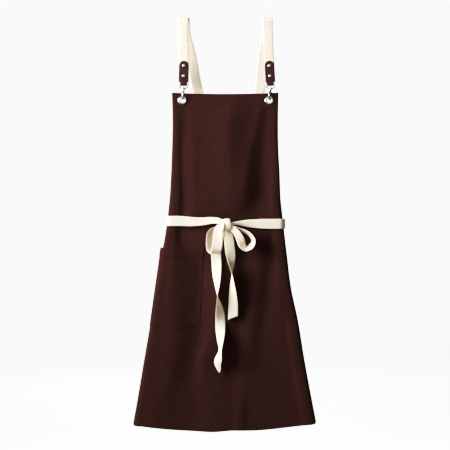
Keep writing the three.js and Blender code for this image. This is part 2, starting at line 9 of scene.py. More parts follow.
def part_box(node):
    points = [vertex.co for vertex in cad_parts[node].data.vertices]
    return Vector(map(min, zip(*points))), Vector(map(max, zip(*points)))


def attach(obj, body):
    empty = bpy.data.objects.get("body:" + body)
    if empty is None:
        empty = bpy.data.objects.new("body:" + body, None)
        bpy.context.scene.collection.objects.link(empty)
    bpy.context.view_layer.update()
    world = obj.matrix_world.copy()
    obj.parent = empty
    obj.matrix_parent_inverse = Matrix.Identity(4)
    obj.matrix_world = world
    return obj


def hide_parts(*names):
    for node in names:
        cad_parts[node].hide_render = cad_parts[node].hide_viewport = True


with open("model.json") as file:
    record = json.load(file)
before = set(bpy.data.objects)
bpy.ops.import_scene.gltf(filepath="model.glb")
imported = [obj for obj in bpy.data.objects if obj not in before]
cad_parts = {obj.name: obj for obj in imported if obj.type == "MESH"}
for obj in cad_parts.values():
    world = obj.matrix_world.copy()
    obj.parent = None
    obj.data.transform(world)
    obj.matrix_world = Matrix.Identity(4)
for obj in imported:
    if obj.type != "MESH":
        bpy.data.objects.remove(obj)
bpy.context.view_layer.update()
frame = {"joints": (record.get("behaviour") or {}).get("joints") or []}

bl_info = {
    "name": "Bib apron",
    "version": (1, 0, 0),
    "blender": (4, 5, 0),
    "location": "View3D > Sidebar > Apron",
    "description": "Makes a hanging canvas bib apron round its packed frame",
    "category": "Mesh",
}

BODY = "apron"
SIDES = {"left": -1, "right": 1}
MM = 0.001

# ---- The cloth's shape, in millimetres, as its solid has it ----
FACE_Y = -10  # middle of the cloth in front
BIB_TOP_Z = -189
HEM_Z = -1040
WAIST_Z = -507
TIE_Z = -514
TIE_HOLD = 17
BIB_HALF_WIDTH = 133
BIB_HEM_DEPTH = 45
BOTTOM_HEM_DEPTH = 15
SIDE_HEM_DEPTH = 10
SEAM_INSET = 1.6  # stitches to the turned edge
SEAM_DIP = 0.2
# Height, then the half widths seen in front on the left and on the right.
SILHOUETTE = (
    (-189, 133, 133), (-237, 131.5, 132), (-337, 133, 133), (-387, 135, 136), (-457, 139.5, 139),
    (-507, 145, 144.5), (-547, 150.5, 149), (-597, 160, 155), (-677, 173, 165),
    (-757, 186, 182), (-857, 203, 198.5), (-957, 220, 217), (-1040, 235, 233),
)
# Height, then the radius of the side fold and the width of the wing behind it.
WING = (
    (-189, 2.2, 1), (-300, 8, 24), (-400, 15, 62), (-475, 21, 107), (-545, 21, 106),
    (-1040, 26, 50),
)
POCKET_TOP_Z = -578
POCKET_BOTTOM_Z = -771
POCKET_WIDTH = 165
POCKET_HEM_DEPTH = 20
POCKET_SEAMS = (2.2, 7.6)
POCKET_HEIGHT = POCKET_TOP_Z - POCKET_BOTTOM_Z

# Folds in the hanging cloth. Each line runs down a ridge or a valley, by rows of height, distance
# along the cloth and how far it stands out there (less than 0 is a valley). The cloth goes
# smoothly from each line to the next, and the lines are listed from left to right.
BIB_FOLDS = (
    ((-189, -130, 0), (-300, -126, 1.5), (-440, -127, 2), (-520, -128, 0)),
    ((-189, -112, 0), (-250, -102, -1), (-340, -108, -3.5), (-440, -105, -5), (-490, -106, -5),
     (-520, -105, -1)),
    ((-189, -80, 0), (-290, -78, 1.5), (-390, -72, 2), (-480, -74, 1.5), (-520, -80, 0)),
    ((-189, 12, 4), (-250, 13, 9.5), (-340, 18, 9), (-390, 26, 9.5), (-440, 28, 9.5),
     (-480, 16, 5), (-520, 12, 0.5)),
    ((-189, 84, 1), (-250, 80, 3.5), (-290, 68, 5), (-340, 54, 7.5), (-390, 44, 9),
     (-440, 38, 9), (-480, 28, 4.6), (-520, 30, 0)),
    ((-189, 106, -1), (-250, 105, -2), (-290, 100, -3), (-340, 95, -5), (-390, 94, -7),
     (-440, 94, -9), (-480, 84, -9), (-520, 80, -1)),
    ((-189, 122, 0), (-250, 121, 0), (-340, 113, -2.5), (-390, 113, -4), (-440, 113, -6),
     (-480, 110, -6), (-520, 110, 0)),
    ((-189, 129, 0), (-290, 127, 0), (-340, 123, -3.5), (-390, 126, -5.5), (-440, 130, -7.5),
     (-480, 132, -7), (-520, 132, 0)),
)
SKIRT_FOLDS = (
    ((-500, -132, 0), (-530, -134, -2), (-560, -134, 1), (-640, -134, 3), (-720, -140, 3),
     (-800, -126, 3), (-900, -142, 4), (-1000, -176, 2), (-1040, -184, 1)),
    ((-500, -100, 0), (-528, -108, -9), (-560, -104, -9), (-600, -84, -7), (-640, -66, -9),
     (-720, -68, -10), (-800, -66, -13), (-850, -76, -15), (-900, -84, -15), (-950, -74, -10),
     (-1040, -64, -4)),
    ((-500, -40, 0.5), (-528, -40, -8), (-560, -44, -2), (-600, -38, 1), (-640, -26, 2),
     (-720, -14, 2), (-800, -28, 1.5), (-850, -50, -3), (-900, -46, -7), (-950, -36, -6),
     (-1040, -20, 0)),
    ((-500, 0, 0.5), (-528, 0, -8), (-560, 8, -2), (-600, 12, 1), (-640, 14, 1.5),
     (-720, 8, 2), (-760, 2, 2), (-800, -8, 1), (-850, -20, -4), (-900, -16, -8),
     (-950, -8, -6), (-1040, 0, -1)),
    ((-500, 60, 0), (-528, 64, -10), (-560, 52, -8), (-600, 48, -7), (-640, 44, -8),
     (-720, 42, -9), (-760, 38, -9), (-800, 30, -9), (-850, 25, -11), (-900, 20, -13),
     (-950, 16, -7), (-1040, 12, -2)),
    ((-500, 90, 0), (-528, 82, -8), (-560, 80, -5), (-600, 84, -3), (-640, 84, -2),
     (-720, 74, -3), (-800, 60, -3), (-850, 54, -5), (-900, 44, -9), (-950, 40, -3),
     (-1040, 34, 2)),
    ((-500, 112, 0), (-528, 112, -6), (-560, 118, -14), (-600, 120, -12), (-640, 112, -10),
     (-720, 104, -11), (-800, 96, -11), (-900, 80, -12), (-950, 66, -8), (-1040, 60, -3)),
    ((-500, 134, 0), (-530, 134, 0), (-600, 141, -2), (-720, 142, -2), (-800, 150, -6),
     (-900, 156, -9), (-1000, 150, -9), (-1040, 150, -8)),
    ((-500, 140, 0), (-560, 147, -2), (-640, 154, -3), (-720, 166, -3), (-800, 178, -4),
     (-900, 196, -4), (-1000, 204, -4), (-1040, 206, -4)),
)
BIB_DEPTH = 0.78           # of the heights above, as the cloth hangs
SKIRT_DEPTH = 0.6
# Short soft wrinkles: distance along the cloth, height, length, width, slope, how far it stands.
WRINKLES = (
    (-72, -300, 46, 5, 0.1, 0.9), (-58, -322, 40, 6, 0.16, -0.9), (-64, -352, 44, 7, 0.12, 0.8),
    (-20, -470, 46, 7, 0.22, -1.1), (-58, -488, 36, 6, 0.1, 1.2), (62, -478, 38, 7, -0.2, 1.1),
    (-86, -232, 26, 4, -0.5, 0.6), (84, -236, 26, 4, 0.5, 0.6), (20, -412, 60, 9, -0.12, 0.7),
    (-60, -548, 34, 6, -0.22, 1.3), (84, -556, 30, 6, 0.3, 1.2), (-150, -860, 40, 9, 0.2, 1.0),
    (150, -880, 46, 10, -0.25, 1.1), (0, -980, 60, 12, 0.08, 0.9),
)

# ---- Tape, eyelets, leather and hooks, in millimetres ----
TAPE_WIDTH = 25
TAPE = 1.3
THROAT_WIDTH = 8.4
TOP_FOLD_RADIUS = 10
TIE_LIFT = 2.3
EYELET_RADIUS = 10.5
EYELET_HOLE = 6
BARREL = 6.8
BARREL_HOLE = 7.1
WASHER = 0.8
WAIST_EYELET_INSET = 22
GAP = 0.3
BAR = 1.3
TAB_INNER = 2.2
LEATHER = 1.6
TAB_OUTER = TAB_INNER + LEATHER
TAB_WIDTH = 24.5
TAB_FOLD_WIDTH = 16.4
TAB_HEIGHT = 59
RIVETS = (46.5, 21)
RIVET_HEAD = 4
EYE_HALF_WIDTH = 11.2
SWIVEL_RADIUS = 4
SWIVEL_TOP = -8.5
SWIVEL_BOTTOM = -14.5
SHANK = 1.4
WIRE = 2
CROWN_Z = -17.2
HOOK_BOTTOM_Z = -37.4
HOOK_HALF_DEPTH = 9
GATE_PIVOT = (8.6, -22.5)
GATE_END_Z = -28.9
GATE_PIN = 0.8


# ---- Properties ----
def length(name, description, default):
    return bpy.props.FloatProperty(
        name=name, description=description, default=default, unit="LENGTH", precision=5)


def colour(name, description, default):
    return bpy.props.FloatVectorProperty(
        name=name, description=description, default=default, size=4, subtype="COLOR",
        min=0, max=1)


class ApronCloth(bpy.types.PropertyGroup):
    """Sizes and colours of the canvas."""
    thickness: length("Canvas thickness", "One layer of the canvas", 0.9 * MM)
    row: length("Row spacing", "Mesh spacing down the cloth", 5 * MM)
    stitch: length("Stitch length", "One machine stitch", 3.2 * MM)
    dye: colour("Canvas colour", "The cloth's own colour", (0.0365, 0.0125, 0.0099, 1))
    worn: colour("Worn colour", "Where edges have rubbed", (0.046, 0.017, 0.0135, 1))
    thread: colour("Thread colour", "Machine thread on the canvas", (0.034, 0.012, 0.0095, 1))


class ApronTrim(bpy.types.PropertyGroup):
    """Sizes and colours of the tape, leather and metal."""
    tape: length("Tape thickness", "Cotton webbing", TAPE * MM)
    cotton: colour("Cotton colour", "Undyed webbing", (0.88, 0.775, 0.60, 1))
    leather: colour("Leather colour", "The tabs' face", (0.042, 0.0125, 0.0098, 1))
    nickel: colour("Nickel colour", "Plated hooks, eyelets and rivets", (0.74, 0.73, 0.71, 1))


# ---- Shader maths ----
YARN_PITCH = 0.62 * MM


class Wire:
    """A shader socket that does arithmetic by adding Math nodes to its finish."""

    def __init__(self, finish, socket):
        self.finish = finish
        self.socket = socket

    def maths(self, operation, first, second=None):
        values = {0: first} if second is None else {0: first, 1: second}
        return self.finish.node("Math", {"operation": operation}, values)

    def __add__(self, other):
        return self.maths("ADD", self, other)

    def __sub__(self, other):
        return self.maths("SUBTRACT", self, other)

    def __rsub__(self, other):
        return self.maths("SUBTRACT", other, self)

    def __mul__(self, other):
        return self.maths("MULTIPLY", self, other)

    def __truediv__(self, other):
        return self.maths("DIVIDE", self, other)

    def __pow__(self, other):
        return self.maths("POWER", self, other)

    def __abs__(self):
        return self.maths("ABSOLUTE", self)

    __radd__ = __add__
    __rmul__ = __mul__

    def sine(self):
        return self.maths("SINE", self)

    def above(self, level):
        return self.maths("GREATER_THAN", self, level)

    def fraction(self):
        return self.maths("FRACT", self)


class Finish:
    """A material being made: every node in it comes from node()."""

    def __init__(self, name, kind="materials"):
        self.material = getattr(bpy.data, kind).new(name)
        self.material.use_nodes = True
        self.tree = self.material.node_tree
        self.tree.nodes.clear()

    def node(self, kind, settings=None, values=None, output=0):
        made = self.tree.nodes.new("ShaderNode" + kind)
        for key, value in (settings or {}).items():
            if key == "stops":
                self.set_stops(made.color_ramp, value)
            else:
                setattr(made, key, value)
        for key, value in (values or {}).items():
            if isinstance(value, Wire):
                self.tree.links.new(value.socket, made.inputs[key])
            else:
                made.inputs[key].default_value = value
        return Wire(self, made.outputs[output] if len(made.outputs) else None)

    @staticmethod
    def set_stops(ramp, stops):
        while len(ramp.elements) < len(stops):
            ramp.elements.new(0.5)
        for element, (position, value) in zip(ramp.elements, stops):
            element.position = position
            element.color = (value, value, value, 1)

    def uv(self):
        """The piece's own map, in metres, as its two numbers."""
        mapped = self.node("UVMap", {"uv_map": "cloth"})
        split = "SeparateXYZ"
        return self.node(split, None, {0: mapped}), self.node(split, None, {0: mapped}, 1)

    def place(self, x, y, z=0.0):
        return self.node("CombineXYZ", None, {0: x, 1: y, 2: z})

    def object_place(self):
        return self.node("TexCoord", None, None, "Object")

    def noise(self, vector, scale, detail=3.0, roughness=0.55):
        values = {"Vector": vector, "Scale": scale, "Detail": detail, "Roughness": roughness}
        return self.node("TexNoise", None, values)

    def mix(self, low, high, factor):
        return self.node("Mix", {"data_type": "RGBA"}, {0: factor, 6: low, 7: high}, 2)

    def ramp(self, value, *stops):
        return self.node("ValToRGB", {"stops": stops}, {0: value})

    def bump(self, height, distance, strength=1.0, normal=None):
        values = {"Height": height, "Distance": distance, "Strength": strength}
        if normal is not None:
            values["Normal"] = normal
        return self.node("Bump", None, values)

    def surface(self, base, roughness, normal=None, **uniform):
        values = {"Base Color": base, "Roughness": roughness}
        values.update({key.replace("_", " "): value for key, value in uniform.items()})
        if normal is not None:
            values["Normal"] = normal
        shader = self.node("BsdfPrincipled", None, values)
        self.node("OutputMaterial", None, {0: shader})
        return self.material


def toned(colour_value, share):
    """A colour made darker or lighter."""
    return tuple(min(1.0, share * part) for part in colour_value[:3]) + (1,)


def woven(u, v, pitch):
    """Height of a plain weave whose yarns are pitch apart, from 0 to 1."""
    across = (u * (math.pi / pitch)).sine()
    along = (v * (math.pi / pitch)).sine()
    warp_on_top = (across * along).above(0)
    warp = abs(across) ** 0.5 * (abs(along) * 0.45 + 0.55)
    weft = abs(along) ** 0.5 * (abs(across) * 0.45 + 0.55)
    return warp * warp_on_top + weft * (1 - warp_on_top)


def canvas_finish(name, cloth):
    """Dyed cotton canvas: weave, slubs, uneven dye, rubbed edges and puckered hems."""
    finish = Finish(name)
    u, v = finish.uv()
    weave = woven(u, v, YARN_PITCH)
    warp_slubs = finish.noise(finish.place(u * 900, v * 35), 1.0, 2.0)
    weft_slubs = finish.noise(finish.place(u * 35, v * 900), 1.0, 2.0)
    cloud = finish.noise(finish.place(u * 14, v * 9), 1.0, 4.0)
    fuzz = finish.noise(finish.place(u * 2600, v * 2600), 1.0, 2.0, 0.7)
    rubbed = finish.node("Attribute", {"attribute_name": "rubbed"}, None, "Fac")
    patchy = finish.noise(finish.place(u * 160, v * 160), 1.0, 3.0)
    wear = rubbed * finish.ramp(patchy, (0.35, 0.15), (0.7, 1.0))
    dark = toned(cloth.dye, 0.74)
    light = toned(cloth.dye, 1.28)
    yarn = (warp_slubs + weft_slubs) * 0.5
    tone = finish.ramp(yarn * 0.6 + cloud * 0.25 + weave * 0.15, (0.32, 0.0), (0.68, 1.0))
    base = finish.mix(dark, light, tone)
    base = finish.mix(base, tuple(cloth.worn), wear * 0.75)
    pucker = finish.noise(finish.place(u * 110, v * 110), 1.0, 2.0)
    normal = finish.bump(pucker * rubbed, 1.1 * MM, 0.8)
    normal = finish.bump(cloud * 0.7 + yarn * 0.3, 0.5 * MM, 0.5, normal)
    normal = finish.bump(weave + fuzz * 0.35, 0.16 * MM, 0.9, normal)
    rough = finish.ramp(fuzz * 0.5 + yarn * 0.5, (0.2, 0.8), (0.8, 0.96))
    return finish.surface(base, rough, normal, Specular_IOR_Level=0.06)


def webbing_finish(name, trim):
    """Undyed cotton herringbone webbing with selvages and a few seed flecks."""
    finish = Finish(name)
    u, v = finish.uv()
    stripe = abs((u / (6.2 * MM)).fraction() - 0.5) * 6.2 * MM
    twill = ((v * 1.0 + stripe * 1.6) * (2 * math.pi / (1.5 * MM))).sine() * 0.5 + 0.5
    yarns = (u * (2 * math.pi / YARN_PITCH)).sine() * 0.5 + 0.5
    fuzz = finish.noise(finish.place(u * 1900, v * 1900), 1.0, 3.0, 0.7)
    slub = finish.noise(finish.place(u * 700, v * 50), 1.0, 2.0)
    cloud = finish.noise(finish.place(u * 60, v * 22), 1.0, 3.0)
    flecks = finish.ramp(finish.noise(finish.place(u * 800, v * 800), 1.0, 1.0),
                         (0.735, 0.0), (0.76, 1.0))
    shade = toned(trim.cotton, 0.88)
    light = toned(trim.cotton, 1.05)
    tone = finish.ramp(twill * 0.25 + slub * 0.45 + cloud * 0.3, (0.25, 0.0), (0.7, 1.0))
    base = finish.mix(shade, light, tone)
    base = finish.mix(base, (0.45, 0.33, 0.2, 1), flecks * 0.5)
    normal = finish.bump(cloud, 0.6 * MM, 0.5)
    normal = finish.bump(twill * 0.7 + yarns * 0.3 + fuzz * 0.5, 0.22 * MM, 0.9, normal)
    rough = finish.ramp(fuzz, (0.2, 0.84), (0.8, 0.98))
    return finish.surface(
        base, rough, normal, Specular_IOR_Level=0.15, Subsurface_Weight=0.35,
        Subsurface_Radius=(1, 0.9, 0.8), Subsurface_Scale=0.002)


def leather_finish(name, trim):
    """Oiled leather: pebbled grain, pores in its relief and roughness, polished where it is handled.
    """
    finish = Finish(name)
    place = finish.object_place()
    cells = finish.node("TexVoronoi", {"feature": "F1"}, {"Vector": place, "Scale": 1500.0})
    grain = finish.noise(place, 620.0, 5.0, 0.6)
    stain = finish.noise(place, 75.0, 4.0)
    rubbed = finish.node("Attribute", {"attribute_name": "rubbed"}, None, "Fac")
    pores = finish.ramp(cells, (0.0, 0.0), (0.55, 1.0))
    dark = toned(trim.leather, 0.55)
    light = toned(trim.leather, 1.5)
    base = finish.mix(dark, light, finish.ramp(stain * 0.6 + grain * 0.4, (0.35, 0), (0.68, 1)))
    base = finish.mix(base, (0.025, 0.010, 0.009, 1), rubbed * 0.8)
    normal = finish.bump(grain, 0.25 * MM, 0.6)
    normal = finish.bump(pores, 0.08 * MM, 0.7, normal)
    rough = finish.ramp(grain * 0.6 + pores * 0.4, (0.2, 0.36), (0.8, 0.58))
    return finish.surface(base, rough, normal, Specular_IOR_Level=0.2)


def metal_finish(name, colour_value, low, high):
    """Plated metal with fine scuffs and a slightly uneven plate."""
    finish = Finish(name)
    place = finish.object_place()
    scuffs = finish.noise(place, 900.0, 4.0, 0.65)
    film = finish.noise(place, 140.0, 3.0)
    dull = toned(colour_value, 0.72)
    base = finish.mix(tuple(colour_value), dull, finish.ramp(film, (0.45, 0.0), (0.75, 1.0)))
    rough = finish.ramp(scuffs * 0.6 + film * 0.4, (0.3, low), (0.75, high))
    normal = finish.bump(scuffs, 0.03 * MM, 0.5)
    return finish.surface(base, rough, normal, Metallic=1.0)


def thread_finish(name, colour_value):
    """Twisted sewing thread."""
    finish = Finish(name)
    place = finish.object_place()
    fibres = finish.noise(place, 2400.0, 3.0, 0.7)
    dark = toned(colour_value, 0.7)
    light = toned(colour_value, 1.25)
    base = finish.mix(dark, light, finish.ramp(fibres, (0.3, 0.0), (0.7, 1.0)))
    rough = finish.ramp(fibres, (0.2, 0.55), (0.8, 0.8))
    return finish.surface(base, rough, finish.bump(fibres, 0.05 * MM, 0.8))


FINISHES = {}


def finish_of(key):
    """Each finish is made once, the first time a piece needs it."""
    cloth = bpy.context.scene.apron_cloth
    trim = bpy.context.scene.apron_trim
    if key not in FINISHES:
        FINISHES[key] = {
            "canvas": lambda: canvas_finish("brown_canvas", cloth),
            "tape": lambda: webbing_finish("cotton_webbing", trim),
            "leather": lambda: leather_finish("oiled_leather", trim),
            "nickel": lambda: metal_finish("nickel_plate", trim.nickel, 0.12, 0.34),
            "steel": lambda: metal_finish("spring_steel", (0.5, 0.5, 0.5, 1), 0.25, 0.45),
            "thread": lambda: thread_finish("brown_thread", cloth.thread),
            "cream_thread": lambda: thread_finish("cream_thread", trim.cotton),
        }[key]()
    return FINISHES[key]


# ---- Curves and meshes ----
def through(knots, values, at):
    """Values along a smooth curve through the given ones, which are at the given knots."""
    knots = np.asarray(knots, float)
    values = np.asarray(values, float)
    slopes = np.gradient(values, knots, axis=0)
    at = np.clip(at, knots[0], knots[-1])
    i = np.clip(np.searchsorted(knots, at, side="right") - 1, 0, len(knots) - 2)
    span = knots[i + 1] - knots[i]
    t = (at - knots[i]) / span
    if values.ndim > 1:
        t, span = t[:, None], span[:, None]
    rest = (1 - t) ** 2
    return (values[i] * (1 + 2 * t) * rest + slopes[i] * span * t * rest
            + values[i + 1] * t * t * (3 - 2 * t) + slopes[i + 1] * span * t * t * (t - 1))


def read_at(table, z, column):
    rows = sorted(table)
    shape = np.shape(z)
    z = np.atleast_1d(np.asarray(z, float)).ravel()
    return through([row[0] for row in rows], [row[column] for row in rows], z).reshape(shape)


def soft_step(value, low, high):
    t = np.clip((value - low) / (high - low), 0, 1)
    return t * t * (3 - 2 * t)


def bell(distance, middle, width):
    """1 at the middle, falling away on both sides."""
    return np.exp(-(((distance - middle) / width) ** 2))


def lengths_along(points):
    """How far along its line each point is."""
    return np.concatenate([[0], np.cumsum(np.linalg.norm(np.diff(points, axis=0), axis=1))])


def unit(vectors):
    return vectors / np.maximum(np.linalg.norm(vectors, axis=-1, keepdims=True), 1e-12)


def new_piece(name, points, faces, material, uv=None, rubbed=None, body=BODY, slot=None):
    """A piece from points in millimetres. uv is one pair a point, in millimetres too."""
    used, corners = np.unique(np.concatenate([list(f) for f in faces]), return_inverse=True)
    ends = np.cumsum([len(f) for f in faces])[:-1]
    points = np.asarray(points, float)[used]
    uv = None if uv is None else np.asarray(uv, float)[used]
    rubbed = None if rubbed is None else np.asarray(rubbed, float)[used]
    mesh = bpy.data.meshes.new(name)
    mesh.from_pydata((points * MM).tolist(), [], [f.tolist() for f in np.split(corners, ends)])
    corner_points = np.zeros(len(mesh.loops), int)
    mesh.loops.foreach_get("vertex_index", corner_points)
    if uv is not None:
        layer = mesh.uv_layers.new(name="cloth")
        layer.data.foreach_set("uv", (uv[corner_points] * MM).ravel())
    if rubbed is not None:
        mesh.attributes.new("rubbed", "FLOAT", "POINT").data.foreach_set("value", rubbed)
    mesh.polygons.foreach_set("use_smooth", np.ones(len(mesh.polygons), bool))
    mesh.materials.append(finish_of(material))
    mesh.validate()
    mesh.update()
    piece = bpy.data.objects.new(name, mesh)
    bpy.context.scene.collection.objects.link(piece)
    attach(piece, body)
    return piece


def grid_faces(rows, columns, closed=False):
    """Quads between rows of points; closed joins each row's last point to its first."""
    faces = []
    for row in range(rows - 1):
        for column in range(columns if closed else columns - 1):
            a = row * columns + column
            b = row * columns + (column + 1) % columns
            faces.append((a, b, b + columns, a + columns))
    return faces


def sheet_shell(outer, inner, keep=None):
    """A closed sheet from two grids of points; keep says which of their quads are there."""
    rows, columns = outer.shape[:2]
    count = rows * columns
    points = np.concatenate([outer.reshape(-1, 3), inner.reshape(-1, 3)])
    front = grid_faces(rows, columns)
    if keep is not None:
        front = [face for face in front if keep[divmod(min(face), columns)]]
    back = [tuple(count + i for i in reversed(face)) for face in front]
    sides = {(a, b) for face in front for a, b in zip(face, face[1:] + face[:1])}
    edge = [(b, a, a + count, b + count) for a, b in sorted(sides) if (b, a) not in sides]
    return points, front + back + edge


def outward(piece):
    """Turns a closed piece's faces out where its volume says they face in."""
    mesh = piece.data
    mesh.calc_loop_triangles()
    volume = 0.0
    for triangle in mesh.loop_triangles:
        a, b, c = (mesh.vertices[i].co for i in triangle.vertices)
        volume += a.dot(b.cross(c))
    if volume < 0:
        mesh.flip_normals()
    return piece


def end_caps(sides, last):
    """The two flat ends of a stack of rings, whose last ring starts at the point called last."""
    return [tuple(range(sides - 1, -1, -1)), tuple(last + i for i in range(sides))]


def bend_frames(middle):
    """Tangents and a pair of crosswise directions that turn as little as they can."""
    along = unit(np.gradient(middle, axis=0))
    start = np.array([1.0, 0, 0]) if abs(along[0][0]) < 0.9 else np.array([0, 1.0, 0])
    side = unit(start - along[0] * start.dot(along[0]))
    sides = []
    for direction in along:
        side = unit(side - direction * side.dot(direction))
        sides.append(side)
    sides = np.array(sides)
    return along, sides, np.cross(along, sides)


def rod(points, radius, sides=16, steps=40, round_ends=True):
    """A round bar along a smooth curve through points, with domed ends."""
    points = np.asarray(points, float)
    knots = lengths_along(points)
    at = np.linspace(0, knots[-1], steps)
    middle = through(knots, points, at)
    along, side, up = bend_frames(middle)
    rings, radii = list(middle), [radius] * steps
    frames = list(range(steps))
    if round_ends:
        for turn in (0.4, 0.8, 1.2):
            shift, shrink = radius * math.sin(turn) * 0.6, math.cos(turn)
            rings.insert(0, middle[0] - along[0] * shift)
            rings.append(middle[-1] + along[-1] * shift)
            radii.insert(0, radius * shrink)
            radii.append(radius * shrink)
            frames.insert(0, 0)
            frames.append(steps - 1)
    angles = np.linspace(0, 2 * math.pi, sides, endpoint=False)
    circle = np.stack([np.cos(angles), np.sin(angles)], axis=1)
    out = [ring + reach * (circle[:, :1] * side[f] + circle[:, 1:] * up[f])
           for ring, reach, f in zip(rings, radii, frames)]
    faces = grid_faces(len(rings), sides, closed=True)
    return np.concatenate(out), faces + end_caps(sides, (len(rings) - 1) * sides)


def turned(profile, segments=40):
    """A lathe shape about Y from (radius, y) points: closed, or from the axis to the axis."""
    angles = np.linspace(0, 2 * math.pi, segments, endpoint=False)
    rows = [np.stack([r * np.cos(angles), np.full(segments, y), r * np.sin(angles)], axis=1)
            for r, y in profile]
    faces = grid_faces(len(rows), segments, closed=True)
    last = (len(rows) - 1) * segments
    if profile[0] == profile[-1]:
        rows.pop()
        faces = [tuple(i % last for i in face) for face in faces]
    else:
        faces += end_caps(segments, last)
    return np.concatenate(rows), faces


def rounded(profile, radius=0.25, steps=3):
    """A profile with its corners rounded off, for light to catch."""
    closed = profile[0] == profile[-1]
    corners = [np.array(p, float) for p in (profile[:-1] if closed else profile)]
    count = len(corners)
    smooth = []
    for i, corner in enumerate(corners):
        if not closed and i in (0, count - 1):
            smooth.append(tuple(corner))
            continue
        before, after = corners[i - 1], corners[(i + 1) % count]
        back, ahead = before - corner, after - corner
        reach = min(radius, 0.45 * np.linalg.norm(back), 0.45 * np.linalg.norm(ahead))
        start, end = corner + reach * unit(back), corner + reach * unit(ahead)
        for t in np.linspace(0, 1, steps + 1):
            smooth.append(tuple((1 - t) ** 2 * start + 2 * t * (1 - t) * corner + t * t * end))
    if closed:
        smooth.append(smooth[0])
    return smooth


def block(x, y, z, width, depth, height, corner=0.35):
    """A box with rounded upright edges, as points and faces."""
    half = np.array([width, depth, height]) / 2
    reach = [min(corner, 0.45 * size) for size in (width, depth, height)]
    levels = [(-half[2], reach[2]), (-half[2] + reach[2], 0), (half[2] - reach[2], 0),
              (half[2], reach[2])]
    rows = []
    for level, pull in levels:
        ring = []
        for quarter in range(4):
            sx, sy = ((1, 1), (-1, 1), (-1, -1), (1, -1))[quarter]
            for step in range(3):
                angle = math.pi / 2 * (quarter + step / 2)
                ring.append((sx * (half[0] - reach[0]) + (reach[0] - pull * 0.6) * math.cos(angle),
                             sy * (half[1] - reach[1]) + (reach[1] - pull * 0.6) * math.sin(angle),
                             level))
        rows.append(ring)
    points = np.concatenate(rows) + np.array([x, y, z])
    return points, grid_faces(4, 12, closed=True) + end_caps(12, 36)


def gathered(*shapes):
    """Several shapes as one."""
    points, faces, offset = [], [], 0
    for shape_points, shape_faces in shapes:
        points.append(np.asarray(shape_points, float))
        faces += [tuple(offset + i for i in face) for face in shape_faces]
        offset += len(shape_points)
    return np.concatenate(points), faces


def moved(shape, matrix):
    points, faces = shape
    matrix = np.array(matrix)
    return points @ matrix[:3, :3].T + matrix[:3, 3], faces


# ---- The cloth as a surface: s runs along it from its centre line, z is the height ----
FOLD_POWER = 0.44   # 1 is a round fold, less is a fold pressed flatter in front and behind


def fold_radius(z):
    return read_at(WING, z, 1)


def wing_width(z):
    return read_at(WING, z, 2)


def flat_half(z, sign):
    sides = np.where(sign < 0, read_at(SILHOUETTE, z, 1), read_at(SILHOUETTE, z, 2))
    return sides - fold_radius(z)


def cloth_half(z, sign):
    return flat_half(z, sign) + math.pi * fold_radius(z) + wing_width(z)


def relief(folds, s, z):
    """Height of the cloth between its fold lines: flat at the left edge, held at the right."""
    lines = [(read_at(rows, z, 1), read_at(rows, z, 2)) for rows in folds]
    lines.insert(0, (-flat_half(z, -1.0) - 6, 0 * z))
    lines.append((flat_half(z, 1.0) + 6, lines[-1][1]))
    height = np.zeros(s.shape)
    for (at, low), (after, high) in zip(lines, lines[1:]):
        after = np.maximum(after, at + 2)
        share = np.clip((s - at) / (after - at), 0, 1)
        between = (s >= at) & (s < after)
        height = np.where(between, low + (high - low) * share**2 * (3 - 2 * share), height)
    return height


def drape(s, z):
    """How far the hanging cloth stands out of its plain shape."""
    s, z = np.broadcast_arrays(s, z)
    lower = soft_step(-z, 504, 524)
    total = (relief(BIB_FOLDS, s, z) * BIB_DEPTH * (1 - lower)
             + relief(SKIRT_FOLDS, s, z) * SKIRT_DEPTH * lower)
    crease = soft_step(-z, 189, 215) * (1 - soft_step(-z, 440, 500))
    total = total + crease * (1.2 - 0.05 * np.sqrt((s - 12) ** 2 + 4)) * (np.abs(s - 12) < 24)
    for s0, z0, reach, width, slope, height in WRINKLES:
        ahead = (s - s0) / reach
        off = (z - z0 - slope * (s - s0)) / width
        total = total + height * np.exp(-(ahead**2) - off**2)
    ripple = (0.45 * np.sin(s / 23 + z / 61) + 0.3 * np.sin(s / 13 - z / 47 + 1.3)
              + 0.3 * np.sin(s / 31 - z / 29 + 4.1))
    wing = np.abs(s) - flat_half(z, np.where(s < 0, -1, 1))
    behind = soft_step(wing, 20, 70)
    back_folds = 2.4 * np.sin(s / 17 + z / 150) * soft_step(-z, 480, 640)
    return total * (1 - behind) + ripple + behind * back_folds


def held_in(z):
    """1 where the waist tie lies on the cloth, so that nothing there stands out through it."""
    return bell(z, TIE_Z, TIE_HOLD)


